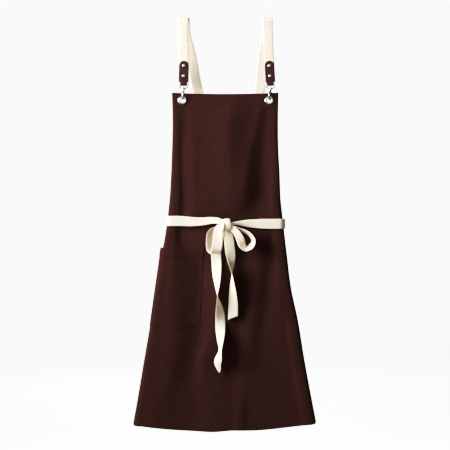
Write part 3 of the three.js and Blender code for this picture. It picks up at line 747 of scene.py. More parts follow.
def cloth_point(s, z):
    """Points on the middle of the hanging cloth, for arrays of s and z."""
    s, z = np.broadcast_arrays(np.asarray(s, float), np.asarray(z, float))
    sign = np.where(s < 0, -1.0, 1.0)
    radius = fold_radius(z)
    flat = flat_half(z, sign)
    past = np.abs(s) - flat
    stand = drape(s, z)
    stand = stand - held_in(z) * np.maximum(stand, 0)
    corner = soft_step(BIB_TOP_Z - z, 0, 60)
    stand = stand * (0.35 + 0.65 * corner) * (1 - 0.75 * soft_step(past, -8, 4)
                                              * (1 - soft_step(past, 50, 90)))
    reach = radius + stand * 0.3
    turn = np.clip(past / radius, 0, math.pi)
    power = 1 - (1 - FOLD_POWER) * soft_step(wing_width(z), 8, 40)
    out = np.sin(turn) ** power
    ahead = np.sign(np.cos(turn)) * np.abs(np.cos(turn)) ** power
    bend_x = sign * (flat + reach * out)
    bend_y = FACE_Y + radius - reach * ahead
    behind = past - math.pi * radius
    back_x = sign * (flat - behind)
    # The stand fades from the front's full value to the bend's share of it and back.
    share_in = 0.3 + 0.7 * (1 - soft_step(past, -14, 0))
    front_y = FACE_Y - stand * share_in
    share_out = 0.3 + 0.7 * soft_step(behind, 0, 14)
    back_y = FACE_Y + 2 * radius + stand * share_out
    x = np.where(past <= 0, s, np.where(behind >= 0, back_x, bend_x))
    y = np.where(past <= 0, front_y, np.where(behind >= 0, back_y, bend_y))
    return np.stack([x, y, z], axis=-1)


def cloth_normal(s, z):
    """Directions out of the cloth's face."""
    step = 1.5
    down = cloth_point(s, np.asarray(z) - step) - cloth_point(s, np.asarray(z) + step)
    along = cloth_point(np.asarray(s) + step, z) - cloth_point(np.asarray(s) - step, z)
    return unit(np.cross(down, along))


def bib_top(s):
    return BIB_TOP_Z - 3.5 * (1 - np.minimum(np.abs(s / BIB_HALF_WIDTH), 1) ** 2)


def hem_line(s):
    wave = 2.2 * np.sin(s / 26 + 0.6) * np.exp(-(((s - 10) / 70) ** 2))
    return HEM_Z + 3 + 19 * np.minimum(np.abs((s + 15) / 235), 1.25) ** 2 + wave


def waist_eyelet(sign):
    s = sign * (float(cloth_half(WAIST_Z, sign)) - WAIST_EYELET_INSET)
    return cloth_point(s, WAIST_Z)


def levelled(level, s):
    """Rows near the top and the bottom follow those edges."""
    by_top = np.clip((level - (BIB_TOP_Z - 120)) / 120, 0, 1)
    by_hem = np.clip((HEM_Z + 260 - level) / 260, 0, 1)
    return level + (bib_top(s) - BIB_TOP_Z) * by_top + (hem_line(s) - HEM_Z) * by_hem


SEAM_DISTANCES = (0, 0.8, 2.2, 4)


def near_edge(hem):
    """Distances from an edge to just past its hem, close together where the cloth bends."""
    between = np.linspace(SEAM_DISTANCES[-1], hem - 2.6, max(2, int((hem - 6.6) / 2.4) + 1))
    steps = [*SEAM_DISTANCES, *between, hem - 1.6, hem - 0.8, hem, hem + 1.2]
    return sorted(set(round(float(step), 2) for step in steps))


def spaced_from_edge(total, hem, spacing):
    """Distances over a whole length: near_edge's, then even ones."""
    near = near_edge(hem)
    count = int((total - near[-1]) / spacing)
    return np.array(near + list(np.linspace(near[-1], total, count + 1))[1:])


def hem_lift(distance, hem, thickness):
    """Extra depth on the back of a turned hem, and the groove its stitches pull in front."""
    extra = thickness * 1.6 * (1 - soft_step(distance, hem - 0.8, hem + 0.4))
    groove = SEAM_DIP * bell(distance, hem - SEAM_INSET, 0.9)
    edge = soft_step(distance, 0, 1.6)
    return extra, groove, edge


def panel_grid(spacing):
    """Grids of s, z and the distances from the top, the bottom and the sides."""
    across = np.array(sorted({*near_edge(SIDE_HEM_DEPTH), 1.5, 3.1, 6.2}))
    rows_top = spaced_from_edge(400, BIB_HEM_DEPTH, spacing)
    rows_bottom = spaced_from_edge(BIB_TOP_Z - 400 - HEM_Z, BOTTOM_HEM_DEPTH, spacing)
    levels = np.concatenate([BIB_TOP_Z - rows_top, (HEM_Z + rows_bottom)[::-1][1:]])
    inner = np.linspace(0, 1, 78)[1:]
    grid_s, grid_side = [], []
    for level in levels:
        halves = []
        for sign in (-1, 1):
            half = float(cloth_half(level, sign))
            reach = half - across[-1]
            distances = half - inner * reach
            halves.append((np.concatenate([[half], distances, across[-2::-1]]), half))
        (left, left_half), (right, right_half) = halves
        s_left = -(left_half - left)[::-1]
        s_right = (right_half - right)[1:]
        grid_s.append(np.concatenate([s_left, s_right]))
        grid_side.append(np.concatenate([left[::-1], right[1:]]))
    s = np.array(grid_s)
    side = np.array(grid_side)
    level = np.repeat(levels[:, None], s.shape[1], axis=1)
    return s, levelled(level, s), side, BIB_TOP_Z - level, level - HEM_Z


class MakePanel(bpy.types.Operator):
    """Make the canvas panel: bib, skirt, side wings, turned hems and the fall of its folds."""
    bl_idname = "apron.make_panel"
    bl_label = "Apron panel"

    def execute(self, context):
        cloth = context.scene.apron_cloth
        thickness = cloth.thickness / MM
        s, z, side, top, bottom = panel_grid(cloth.row / MM)
        normal = cloth_normal(s, z)
        middle = cloth_point(s, z)
        extra = np.zeros(s.shape)
        groove = np.zeros(s.shape)
        edge = np.ones(s.shape)
        rubbed = np.zeros(s.shape)
        for distance, hem in ((side, SIDE_HEM_DEPTH), (top, BIB_HEM_DEPTH),
                              (bottom, BOTTOM_HEM_DEPTH)):
            more, dip, fade = hem_lift(distance, hem, thickness)
            extra = np.maximum(extra, more)
            groove = np.maximum(groove, dip)
            edge = np.minimum(edge, fade)
            rubbed = np.maximum(rubbed, np.exp(-distance / 1.6))
            rubbed = np.maximum(rubbed, 0.5 * bell(distance, hem - SEAM_INSET, 1.5))
        half = thickness / 2
        outer = middle + normal * (half * (0.2 + 0.8 * edge) - groove)[..., None]
        inner = middle - normal * (half * (0.2 + 0.8 * edge) + extra * (0.3 + 0.7 * edge))[..., None]
        keep = self.punch(outer, inner)
        panel = sheet_piece("canvas_panel", outer, inner, s, z, rubbed, "apron_panel", keep)
        width = 2 * float(cloth_half(-1039, 1)) * MM
        self.flat_area()
        return {"FINISHED"}

    def flat_area(self):
        levels = np.linspace(HEM_Z + 20, BIB_TOP_Z, 80)
        widths = cloth_half(levels, -1) + cloth_half(levels, 1)
        return float(np.trapz(widths, levels)) * MM * MM

    def punch(self, outer, inner):
        """Open the eyelets' holes: which quads are left, with their edge drawn to the circle."""
        rows, columns = outer.shape[:2]
        keep = np.ones((rows - 1, columns - 1), bool)
        radius = BARREL_HOLE + 0.4
        for side in SIDES:
            for where in ("bib", "waist"):
                centre, face = self.hole(side, where)
                away = np.hypot(outer[..., 0] - centre[0], outer[..., 2] - centre[1])
                away = np.where((outer[..., 1] > 8) == face, away, 1e3)
                middle = (away[1:, 1:] + away[:-1, 1:] + away[1:, :-1] + away[:-1, :-1]) / 4
                gone = middle < radius + 0.6
                keep &= ~gone
                near = np.zeros((rows, columns), bool)
                for down, along in ((0, 0), (0, 1), (1, 0), (1, 1)):
                    near[down:rows - 1 + down, along:columns - 1 + along] |= gone
                for grid in (outer, inner):
                    offset = grid[near][:, [0, 2]] - centre
                    reach = np.linalg.norm(offset, axis=1, keepdims=True)
                    drawn = centre + offset / np.maximum(reach, 0.01) * radius
                    grid[near] = np.stack([drawn[:, 0], grid[near][:, 1], drawn[:, 1]], axis=1)
        return keep

    @staticmethod
    def hole(side, where):
        low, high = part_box(f"{side}_{where}_eyelet")
        return np.array([(low[0] + high[0]) / 2, (low[2] + high[2]) / 2]) / MM, where == "waist"


def sheet_piece(name, outer, inner, s, z, rubbed, node, keep=None):
    """A piece of canvas between two grids of points."""
    uv = np.stack([s, z], axis=-1).reshape(-1, 2)
    piece = new_piece(name, *sheet_shell(outer, inner, keep), "canvas", np.concatenate([uv, uv]),
                      np.concatenate([rubbed.ravel(), rubbed.ravel()]), slot="canvas")
    outward(piece)
    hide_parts(node)
    return piece


def finish_mesh(piece):
    """Bakes a piece's modifiers into its mesh."""
    graph = bpy.context.evaluated_depsgraph_get()
    graph.update()
    made = bpy.data.meshes.new_from_object(piece.evaluated_get(graph))
    piece.modifiers.clear()
    piece.data = made


# ---- Pocket ----
def pocket_place(u, v):
    """s, z and the stand-off of the pocket, for u from its inner to its outer edge and v down."""
    s = -53 - 11 * v - u * POCKET_WIDTH
    dip = 8 * np.sin(math.pi * np.clip(u * 1.15, 0, 1))
    z = POCKET_TOP_Z + (POCKET_BOTTOM_Z - dip - POCKET_TOP_Z) * v
    bulge = np.sin(math.pi * np.clip(u, 0, 1)) * (1 - v**3)
    mouth = np.exp(-(v / 0.16) ** 2)
    return s, z, 1.3 + 3.2 * bulge + 1.4 * bulge * mouth


class MakePocket(bpy.types.Operator):
    """Make the patch pocket with its turned mouth, standing a little off the cloth."""
    bl_idname = "apron.make_pocket"
    bl_label = "Patch pocket"

    def execute(self, context):
        thickness = context.scene.apron_cloth.thickness / MM
        down = spaced_from_edge(POCKET_HEIGHT - 8, POCKET_HEM_DEPTH, 4.5)
        last = POCKET_HEIGHT - np.array([5.5, 4, 2.6, 1.4, 0.6, 0])
        rows = np.concatenate([down, last]) / POCKET_HEIGHT
        in_from_edge = np.array([0, 0.6, 1.4, 2.6, 4, 5.5, 7])
        middle = np.linspace(7, POCKET_WIDTH - 7, 38)[1:-1]
        columns = np.concatenate(
            [in_from_edge, middle, (POCKET_WIDTH - in_from_edge)[::-1]]) / POCKET_WIDTH
        u, v = np.meshgrid(columns, rows)
        s, z, stand = pocket_place(u, v)
        from_side = np.minimum(u, 1 - u) * POCKET_WIDTH
        from_bottom = (1 - v) * POCKET_HEIGHT
        from_top = v * POCKET_HEIGHT
        extra, groove, edge = hem_lift(from_top, POCKET_HEM_DEPTH, thickness)
        turned_in = np.minimum(from_side, from_bottom)
        edge = np.minimum(edge, soft_step(turned_in, 0, 1.4))
        for line in POCKET_SEAMS:
            groove = np.maximum(groove, SEAM_DIP * bell(turned_in, line, 0.9))
        normal = cloth_normal(s, z)
        base = cloth_point(s, z)
        half = thickness / 2
        low = base + normal * (stand - half * (0.2 + 0.8 * edge) - extra * 0.4)[..., None]
        high = base + normal * (stand + half * (0.2 + 0.8 * edge) + extra * 0.6 - groove)[..., None]
        rubbed = np.maximum(np.exp(-np.minimum(turned_in, from_top) / 1.4),
                            0.5 * bell(from_top, POCKET_HEM_DEPTH - SEAM_INSET, 1.5))
        pocket = sheet_piece("canvas_pocket", high, low, s + 900, z, rubbed, "patch_pocket")
        return {"FINISHED"}


# ---- Tapes ----
ACROSS = (1, 0, 0)
UPRIGHT = (0, 0, 1)


def hanging(degrees):
    """The direction of the width of a hanging tape that is turned about its length."""
    return (math.cos(math.radians(degrees)), math.sin(math.radians(degrees)), 0)


def tape_route(keys, spacing=3.5):
    """Middle, width direction, width and cupping along a smooth route through the keys."""
    points = np.array([key[0] for key in keys], float)
    knots = lengths_along(points)
    at = np.linspace(0, knots[-1], int(knots[-1] / spacing) + 1)
    middle = through(knots, points, at)
    across = through(knots, [unit(np.array(key[1], float)) for key in keys], at)
    width = np.interp(at, knots, [key[2] if len(key) > 2 else TAPE_WIDTH for key in keys])
    cup = np.interp(at, knots, [key[3] if len(key) > 3 else 0 for key in keys])
    return middle, across, width, cup


def tape_shape(route, thickness, columns=10, slant=0):
    """A flat tape with rounded selvages: points, faces, uv. Slant cuts its far end askew."""
    middle, across, width, cup = route
    along = unit(np.gradient(middle, axis=0))
    across = unit(across - along * (across * along).sum(1, keepdims=True))
    lift = np.cross(across, along)
    lengths = lengths_along(middle)
    place = np.sin(np.linspace(-math.pi / 2, math.pi / 2, columns + 1)) * 0.5
    place = 0.5 * place + 0.5 * np.linspace(-0.5, 0.5, columns + 1)
    depth = thickness / 2 * np.sqrt(np.clip(1 - (2 * np.abs(place)) ** 14, 0.04, 1))
    depth = depth * (1 + 0.22 * np.exp(-(((np.abs(place) - 0.455) / 0.02) ** 2)))
    waver = 0.25 * np.sin(lengths / 31 + 1) + 0.18 * np.sin(lengths / 13)
    rows, uv = [], []
    for i in range(len(middle)):
        belly = cup[i] * (1 - 4 * place**2) + waver[i] * 4 * place**2
        askew = slant * place * soft_step(lengths[i], lengths[-1] - 14, lengths[-1])
        centre = (middle[i] + np.outer(place * width[i], across[i]) + np.outer(belly, lift[i])
                  + np.outer(askew, along[i]))
        rows.append(np.concatenate([centre + np.outer(depth, lift[i]),
                                    (centre - np.outer(depth, lift[i]))[::-1]]))
        flat = np.stack([place * TAPE_WIDTH, np.full(columns + 1, lengths[i])], axis=1)
        uv.append(np.concatenate([flat, flat[::-1]]))
    ring = 2 * (columns + 1)
    faces = grid_faces(len(rows), ring, closed=True)
    last = (len(rows) - 1) * ring
    for c in range(columns):
        faces.append((c + 1, c, ring - 1 - c, ring - 2 - c))
        faces.append((last + c, last + c + 1, last + ring - 2 - c, last + ring - 1 - c))
    return np.concatenate(rows), faces, np.concatenate(uv)


SHOULDER = {
    "left": {"front": -105, "back": -101.8, "back_low": -67, "depth": 23, "tab_lean": 1},
    "right": {"front": 106, "back": 105.8, "back_low": 85, "depth": 27, "tab_lean": -3.1},
}


def joint_named(name):
    return next(joint for joint in frame["joints"] if joint["name"] == name)


def bar_point(side):
    """The middle of the swivel eye's bar, in millimetres."""
    return np.array(joint_named(f"{side}_eye_rock")["pos_m"]) / MM


def leaning(size, degrees):
    return size * np.array([math.sin(math.radians(degrees)), 0, math.cos(math.radians(degrees))])


def lerp(a, b, t):
    return a + (b - a) * t


def shoulder_keys(side):
    """From the leather tab up, over, down behind and into the other wing's waist eyelet."""
    shape = SHOULDER[side]
    sign = SIDES[side]
    bar = bar_point(side)
    tab_top = bar + leaning(TAB_HEIGHT, shape["tab_lean"])
    eyelet = waist_eyelet(-sign)
    front, back, low, depth = (shape[key] for key in ("front", "back", "back_low", "depth"))
    radius = TOP_FOLD_RADIUS
    top = -TAPE / 2
    over = [((lerp(front, back, 0.5 - 0.5 * math.cos(turn)), -radius * math.cos(turn),
              top - radius * 0.75 * (1 - math.sin(turn))), ACROSS)
            for turn in np.linspace(0.25, math.pi - 0.25, 6)]
    away = -sign
    return [
        (bar + (tab_top - bar) * 0.09, ACROSS),
        (lerp(bar, tab_top, 0.55), ACROSS),
        (tab_top, ACROSS),
        ((lerp(tab_top[0], front, 0.7), FACE_Y, -70), ACROSS, TAPE_WIDTH, 0.5),
        ((front, FACE_Y, -radius - 12), ACROSS),
        *over,
        ((back, radius, -radius - 12), ACROSS),
        ((lerp(back, low, 0.5), radius + 3, -100), ACROSS, TAPE_WIDTH, 0.6),
        ((low, depth - 8, -190), ACROSS),
        ((low * 0.48, depth - 3, -290), ACROSS),
        ((0, depth, -385), ACROSS),
        ((away * 16, depth - 4, -440), ACROSS, 22, 1),
        ((eyelet[0] - away * 3, eyelet[1] - 10, -478), ACROSS, 15, 2),
        ((eyelet[0], eyelet[1] - 10, -498), (0.9, 0, 0.2), THROAT_WIDTH + 1, 1.4),
        ((eyelet[0], eyelet[1] - 5, WAIST_Z), (0.8, 0, 0.45), THROAT_WIDTH, 1.2),
    ]


def on_cloth(s, z, lift):
    """Points above the cloth's middle by lift."""
    return cloth_point(s, z) + cloth_normal(s, z) * lift


def tie_keys(side, front):
    """From the waist eyelet out over the wing, round the side and across to the knot."""
    sign = SIDES[side]
    level = front[0][1]
    eyelet = waist_eyelet(sign)
    half = float(cloth_half(WAIST_Z, sign))
    flat = float(flat_half(WAIST_Z, sign))
    bend = math.pi * float(fold_radius(WAIST_Z))
    keys = [
        ((eyelet[0], eyelet[1] + 4.5, WAIST_Z), (0.7, 0, 0.7), THROAT_WIDTH, 1),
        ((eyelet[0] + sign * 6, eyelet[1] + 7.6, WAIST_Z), UPRIGHT, 12, 1),
        ((eyelet[0] + sign * 19, eyelet[1] + 6, WAIST_Z), UPRIGHT, 19, 0.6),
        (on_cloth(sign * (half - WAIST_EYELET_INSET - 42), lerp(WAIST_Z, level, 0.5), TIE_LIFT + 1),
         UPRIGHT),
        (on_cloth(sign * (flat + bend + 4), lerp(WAIST_Z, level, 0.9), TIE_LIFT + 1), UPRIGHT),
    ]
    for share in (0.8, 0.6, 0.4, 0.2, 0.02):
        keys.append((on_cloth(sign * (flat + share * bend), level, TIE_LIFT + 0.6), UPRIGHT))
    for s, z, width, lift, cup in front:
        keys.append((np.array([s, FACE_Y - TIE_LIFT - lift, z]), UPRIGHT, width, cup))
    return keys


LEFT_TIE_FRONT = ((-112, -510, 25, 0.8, 0), (-88, -511.5, 23.5, 1.5, 0.4), (-56, -511, 19.5, 3.5, 1),
                  (-34, -508.5, 16.5, 7, 1.6), (-18, -509.5, 15, 10.5, 2))
RIGHT_TIE_FRONT = ((114, -517.3, 25, 0.8, 0), (88, -516.8, 23.5, 1.5, 0.5), (56, -516, 18, 3.5, 1.4),
                   (34, -515.5, 11, 7, 2.2), (24, -515.5, 7, 10, 2.2))

LOOP_ACROSS = (0.85, 0.5, 0)
LEFT_LOOP = (
    ((-2, -25, -517), (0.7, 0.2, 0.6), 13, 1),
    ((-9, -33, -519), (0.85, 0.1, 0.4), 18, 1.5),
    ((-15.5, -40, -530), (0.98, -0.05, 0.1), 22, 1.2),
    ((-18, -44, -551), (0.99, -0.12, 0), 24.5, 0.8),
    ((-19.5, -43, -572), (0.99, 0, 0), 25, 0.6),
    ((-25.5, -36.5, -590), (0.92, 0.38, 0), 25),
    ((-34, -28, -584), (0.85, 0.52, 0), 25),
    ((-37.5, -24, -562), LOOP_ACROSS, 24, -1),
    ((-35.5, -23, -540), LOOP_ACROSS, 21, -1.5),
    ((-24, -22.5, -527), (0.75, 0.5, 0.3), 16, -1.5),
    ((-9, -21, -523), (0.5, 0.3, 0.8), 12),
)
RIGHT_LOOP = (
    ((6, -24, -522), (0.5, 0.3, 0.8), 11),
    ((17, -31, -528), (0.6, -0.1, 0.75), 14, 1),
    ((29, -34.5, -540.5), (0.78, -0.2, 0.5), 18, 1),
    ((37.5, -35, -556), (0.9, 0.1, 0.3), 20, 0.6),
    ((42.5, -33.5, -570), (0.72, 0.6, 0.2), 23),
    ((51, -31.5, -578.5), (0.3, 0.8, 0.45), 24),
    ((63, -29.5, -574), (-0.3, 0.85, 0.45), 24),
    ((70, -28, -559), (-0.42, 0.9, 0), 24),
    ((62, -27, -545), (-0.3, 0.93, -0.25), 23),
    ((41, -25, -532.5), (-0.12, 0.95, -0.3), 20),
    ((24, -23.5, -524), (0, 0.95, 0.2), 14),
    ((10, -22, -523), (0.1, 0.8, 0.4), 11),
)


def tail_keys(rows):
    """Keys of a tail that hangs clear of the cloth in front."""
    keys = []
    for row in rows:
        x, z, degrees = row[:3]
        width = row[3] if len(row) > 3 else TAPE_WIDTH
        reach = width / 2 * abs(math.sin(math.radians(degrees)))
        keys.append(((x, FACE_Y - TIE_LIFT - 2 - reach, z), hanging(degrees), width, 0.8))
    return keys


LEFT_TAIL = (
    (-8, -534, 0, 14), (-14, -552, 0, 20), (-21, -575, 0, 23), (-22.7, -590, 4), (-21.8, -612, -10),
    (-21, -645, -34), (-20, -668, -58), (-19.5, -697, -90), (-15.3, -727, -132),
    (-12, -757, -166), (-12, -782, -196), (-12, -807, -228), (-12.8, -833, -252),
    (-15.6, -850, -232), (-18.6, -864, -208, 20), (-16, -877, -200, 13), (-13.9, -888, -200, 4),
)
RIGHT_TAIL = (
    (8, -534, 0, 14), (9, -545, 0, 20), (9.8, -560, -4), (13.2, -592, 14), (14.8, -613, 46),
    (17, -642, 90), (18.5, -686, 135), (20, -722, 163), (19.5, -748, 170), (19.4, -752, 170),
)


class MakeTapes(bpy.types.Operator):
    """Make the two cotton tapes, each shoulder tape and waist tie in one."""
    bl_idname = "apron.make_tapes"
    bl_label = "Tapes"

    def execute(self, context):
        thickness = context.scene.apron_trim.tape / MM
        self.make("left", "right", RIGHT_TIE_FRONT, RIGHT_LOOP, RIGHT_TAIL, thickness, 11)
        self.make("right", "left", LEFT_TIE_FRONT, LEFT_LOOP, LEFT_TAIL, thickness, 0)
        return {"FINISHED"}

    def make(self, side, far, front, loop, tail, thickness, slant):
        keys = [*shoulder_keys(side), *tie_keys(far, front), *loop, *tail_keys(tail)]
        route = tape_route(keys)
        points, faces, uv = tape_shape(route, thickness, slant=slant)
        tape = new_piece(f"{side}_cotton_tape", points, faces, "tape", uv, slot="cotton_tape")
        outward(tape)
        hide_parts(f"{side}_shoulder_tape", f"{far}_waist_tie", f"bow_{far}_loop",
                    f"bow_{far}_tail")
        path = [tuple(point * MM) for point in route[0][::3]] + [tuple(route[0][-1] * MM)]


class MakeKnot(bpy.types.Operator):
    """Make the bow's knot: one turn of tape drawn tight round the crossing tapes."""
    bl_idname = "apron.make_knot"
    bl_label = "Bow knot"

    def execute(self, context):
        centre = np.array([3.5, -25.5, -520.5])
        keys = []
        for turn in np.linspace(-2.9, 3.3, 15):
            grow = 1 + 0.03 * (turn + 2.9)
            ring = np.array([0.28 * math.sin(turn), -8.4 * math.cos(turn), 12.3 * math.sin(turn)])
            tilt = np.array([2.4 * math.sin(turn), 0, 0])
            keys.append((centre + ring * grow - tilt * 1.1, (1, -0.1, 0.16), 21, 1.8))
        route = tape_route(keys, 1.8)
        points, faces, uv = tape_shape(route, context.scene.apron_trim.tape / MM, 16)
        crease = 0.5 * np.sin(uv[:, 0] * 1.4 + 0.2 * uv[:, 1]) * np.cos(uv[:, 1] / 9)
        points = points + unit(points - centre) * crease[:, None]
        core_points, core_faces = self.core(centre)
        shape = gathered((points, faces), (core_points, core_faces))
        core_uv = core_points[:, [0, 2]]
        knot = new_piece("knot_of_bow", *shape, "tape", np.concatenate([uv, core_uv]),
                         slot="cotton_tape")
        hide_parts("bow_knot")
        return {"FINISHED"}

    def core(self, centre):
        """The crossing tapes inside, seen only at the knot's two ends."""
        profile = [(0, -11.5), (3.4, -10.6), (5.6, -8), (6.6, -3), (6.7, 3), (5.6, 8),
                   (3.4, 10.6), (0, 11.5)]
        points, faces = turned(profile, 28)
        ridges = 1 + 0.09 * np.sin(5 * np.arctan2(points[:, 2], points[:, 0]))
        round_x = np.stack([points[:, 1], points[:, 0] * ridges,
                            1.45 * points[:, 2] * ridges], axis=1)
        return round_x + centre, faces


# ---- Leather tabs ----
def tab_matrix(side):
    lean = math.radians(SHOULDER[side]["tab_lean"])
    return Matrix.Translation(bar_point(side)) @ Matrix.Rotation(lean, 4, "Y")


def tab_shape():
    """A strip with two round ends and a narrow waist, folded round the bar."""
    centre_radius = (TAB_INNER + TAB_OUTER) / 2
    half_turn = math.pi * centre_radius
    total = 2 * TAB_HEIGHT + half_turn
    half = TAB_WIDTH / 2
    near_end = half * (1 - np.cos(np.linspace(0, math.pi / 2, 16)))
    straight = np.linspace(half, TAB_HEIGHT, 22)[1:]
    front = np.concatenate([near_end, straight])
    fold = TAB_HEIGHT + half_turn * np.linspace(0, 1, 14)[1:-1]
    lengths = np.concatenate([front, fold, (total - front)[::-1]])
    distance = np.minimum(lengths, total - lengths)
    height = TAB_HEIGHT - np.minimum(distance, TAB_HEIGHT)
    waist = soft_step(height, 2.6, 8)
    width = (TAB_FOLD_WIDTH + (TAB_WIDTH - TAB_FOLD_WIDTH) * waist) / 2
    end = np.clip(half - distance, 0, half)
    width = np.minimum(width, np.sqrt(np.maximum(half**2 - end**2, 0.02)))
    edge_steps = np.array([0, 0.08, 0.25, 0.5, 0.9, 1.5, 2.0, 2.3, 2.6, 3.2])
    outer, inner, rub = [], [], []
    for size, reach, far in zip(lengths, width, distance):
        scale = min(1.0, reach / 7)
        from_edge = edge_steps * scale
        x = np.concatenate([-reach + from_edge, [0], (reach - from_edge)[::-1]])
        inset = np.concatenate([from_edge, [reach], from_edge[::-1]])
        inset = np.minimum(inset, far + 0.02)
        if size <= TAB_HEIGHT:
            place, out = np.array([-centre_radius, TAB_HEIGHT - size]), np.array([-1.0, 0])
        elif size >= TAB_HEIGHT + half_turn:
            place = np.array([centre_radius, size - TAB_HEIGHT - half_turn])
            out = np.array([1.0, 0])
        else:
            turn = (size - TAB_HEIGHT) / centre_radius
            out = np.array([-math.cos(turn), -math.sin(turn)])
            place = out * centre_radius
        rounding = np.sqrt(np.clip(1 - (1 - np.clip(inset / 0.75, 0, 1)) ** 2, 0.02, 1))
        crease = 0.16 * np.exp(-(((inset - 2.3) / 0.3) ** 2)) * (reach > 5)
        top = LEATHER / 2 * rounding - crease
        low = LEATHER / 2 * rounding
        outer.append(np.stack([x, place[0] + out[0] * top, place[1] + out[1] * top], axis=1))
        inner.append(np.stack([x, place[0] - out[0] * low, place[1] - out[1] * low], axis=1))
        rub.append(np.exp(-inset / 0.5) + 0.35 * (crease > 0.04))
    points, faces = sheet_shell(np.array(outer), np.array(inner))
    rub = np.clip(np.array(rub).ravel(), 0, 1)
    return points, faces, np.concatenate([rub, rub])


class MakeTabs(bpy.types.Operator):
    """Make the folded leather tabs with creased, rounded edges."""
    bl_idname = "apron.make_tabs"
    bl_label = "Leather tabs"

    def execute(self, context):
        for side in SIDES:
            points, faces, rubbed = tab_shape()
            points, faces = moved((points, faces), tab_matrix(side))
            tab = new_piece(f"{side}_folded_tab", points, faces, "leather", rubbed=rubbed,
                            slot="tab_leather")
            outward(tab)
            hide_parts(f"{side}_leather_tab")
        return {"FINISHED"}


# ---- Rivets, by Geometry Nodes ----
def dome(face, towards):
    return [(0, face + 1.5 * towards), (1.2, face + 1.46 * towards), (2.3, face + 1.25 * towards),
            (3.2, face + 0.9 * towards), (3.8, face + 0.5 * towards),
            (RIVET_HEAD, face + 0.25 * towards), (RIVET_HEAD, face)]


def new_tree(name, **inputs):
    """An empty tree of nodes, with its first and last node; inputs gives each one's kind."""
    tree = bpy.data.node_groups.new(name, "GeometryNodeTree")
    for socket, kind in inputs.items():
        tree.interface.new_socket(socket.replace("_", " "), in_out="INPUT",
                                  socket_type="NodeSocket" + kind)
    tree.interface.new_socket("Geometry", in_out="OUTPUT", socket_type="NodeSocketGeometry")
    return tree, tree.nodes.new("NodeGroupInput"), tree.nodes.new("NodeGroupOutput")


def join_nodes(tree, *links):
    """Links given as node, output, node, input."""
    for source, output, target, socket in links:
        tree.links.new(source.outputs[output], target.inputs[socket])


def scatter_tree(name):
    """A tree that puts a copy of a shape at each point, turned by the point's own rotation."""
    tree, start, end = new_tree(name, Places="Geometry", Shape="Object", Size="Float",
                                Finish="Material")
    add = tree.nodes.new
    shape, turn = add("GeometryNodeObjectInfo"), add("GeometryNodeInputNamedAttribute")
    turn.data_type = "FLOAT_VECTOR"
    turn.inputs["Name"].default_value = "turn"
    rotation = add("FunctionNodeEulerToRotation")
    copies, real = add("GeometryNodeInstanceOnPoints"), add("GeometryNodeRealizeInstances")
    finish = add("GeometryNodeSetMaterial")
    join_nodes(
        tree, (start, "Places", copies, "Points"), (start, "Shape", shape, "Object"),
        (shape, "Geometry", copies, "Instance"), (turn, "Attribute", rotation, 0),
        (rotation, 0, copies, "Rotation"), (start, "Size", copies, "Scale"),
        (copies, 0, real, 0), (real, 0, finish, "Geometry"),
        (start, "Finish", finish, "Material"), (finish, 0, end, 0))
    return tree


def set_input(modifier, name, value):
    """A modifier's input is set by its socket's identifier."""
    for item in modifier.node_group.interface.items_tree:
        if item.item_type == "SOCKET" and item.in_out == "INPUT" and item.name == name:
            modifier[item.identifier] = value
            return
    raise RuntimeError(f"the tree has no input called {name}")


def scattered(name, shape, places, material, nodes, body=BODY):
    """Copies of a shape at places, each (point in millimetres, rotation), as one plain piece."""
    pattern = bpy.data.meshes.new(name + "_pattern")
    pattern.from_pydata((np.asarray(shape[0]) * MM).tolist(), [], [list(f) for f in shape[1]])
    pattern.polygons.foreach_set("use_smooth", np.ones(len(pattern.polygons), bool))
    source = bpy.data.objects.new(name + "_pattern", pattern)
    cloud = bpy.data.meshes.new(name)
    cloud.from_pydata([tuple(np.array(point) * MM) for point, _ in places], [], [])
    turns = cloud.attributes.new("turn", "FLOAT_VECTOR", "POINT")
    turns.data.foreach_set("vector", np.array([turn for _, turn in places], float).ravel())
    piece = bpy.data.objects.new(name, cloud)
    bpy.context.scene.collection.objects.link(piece)
    maker = piece.modifiers.new("copies", "NODES")
    maker.node_group = scatter_tree(name + "_copies")
    set_input(maker, "Shape", source)
    set_input(maker, "Size", 1.0)
    set_input(maker, "Finish", finish_of(material))
    finish_mesh(piece)
    bpy.data.objects.remove(source)
    outward(piece)
    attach(piece, body)
    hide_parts(*nodes)
    return piece


class MakeRivets(bpy.types.Operator):
    """Make the rivets and their caps through the leather tabs."""
    bl_idname = "apron.make_rivets"
    bl_label = "Rivets"

    def execute(self, context):
        face = TAB_OUTER + GAP
        tip = face + 0.5
        rivet = turned(rounded([*dome(-face, -1), (1.2, -face), (1.2, tip), (0, tip)], 0.15), 32)
        socket = [(0, tip + GAP), (1.5, tip + GAP), (1.5, face)]
        cap = turned(rounded([*socket, *dome(face, 1)[::-1]], 0.15), 32)
        for side in SIDES:
            matrix = tab_matrix(side)
            turn = (0, math.radians(SHOULDER[side]["tab_lean"]), 0)
            places = [(matrix @ Vector((0, 0, height)), turn) for height in RIVETS]
            names = [f"{side}_{level}_rivet" for level in ("upper", "lower")]
            scattered(f"{side}_rivets", rivet, places, "nickel", names)
            scattered(f"{side}_rivet_caps", cap, places, "nickel",
                      [name + "_cap" for name in names])
        return {"FINISHED"}


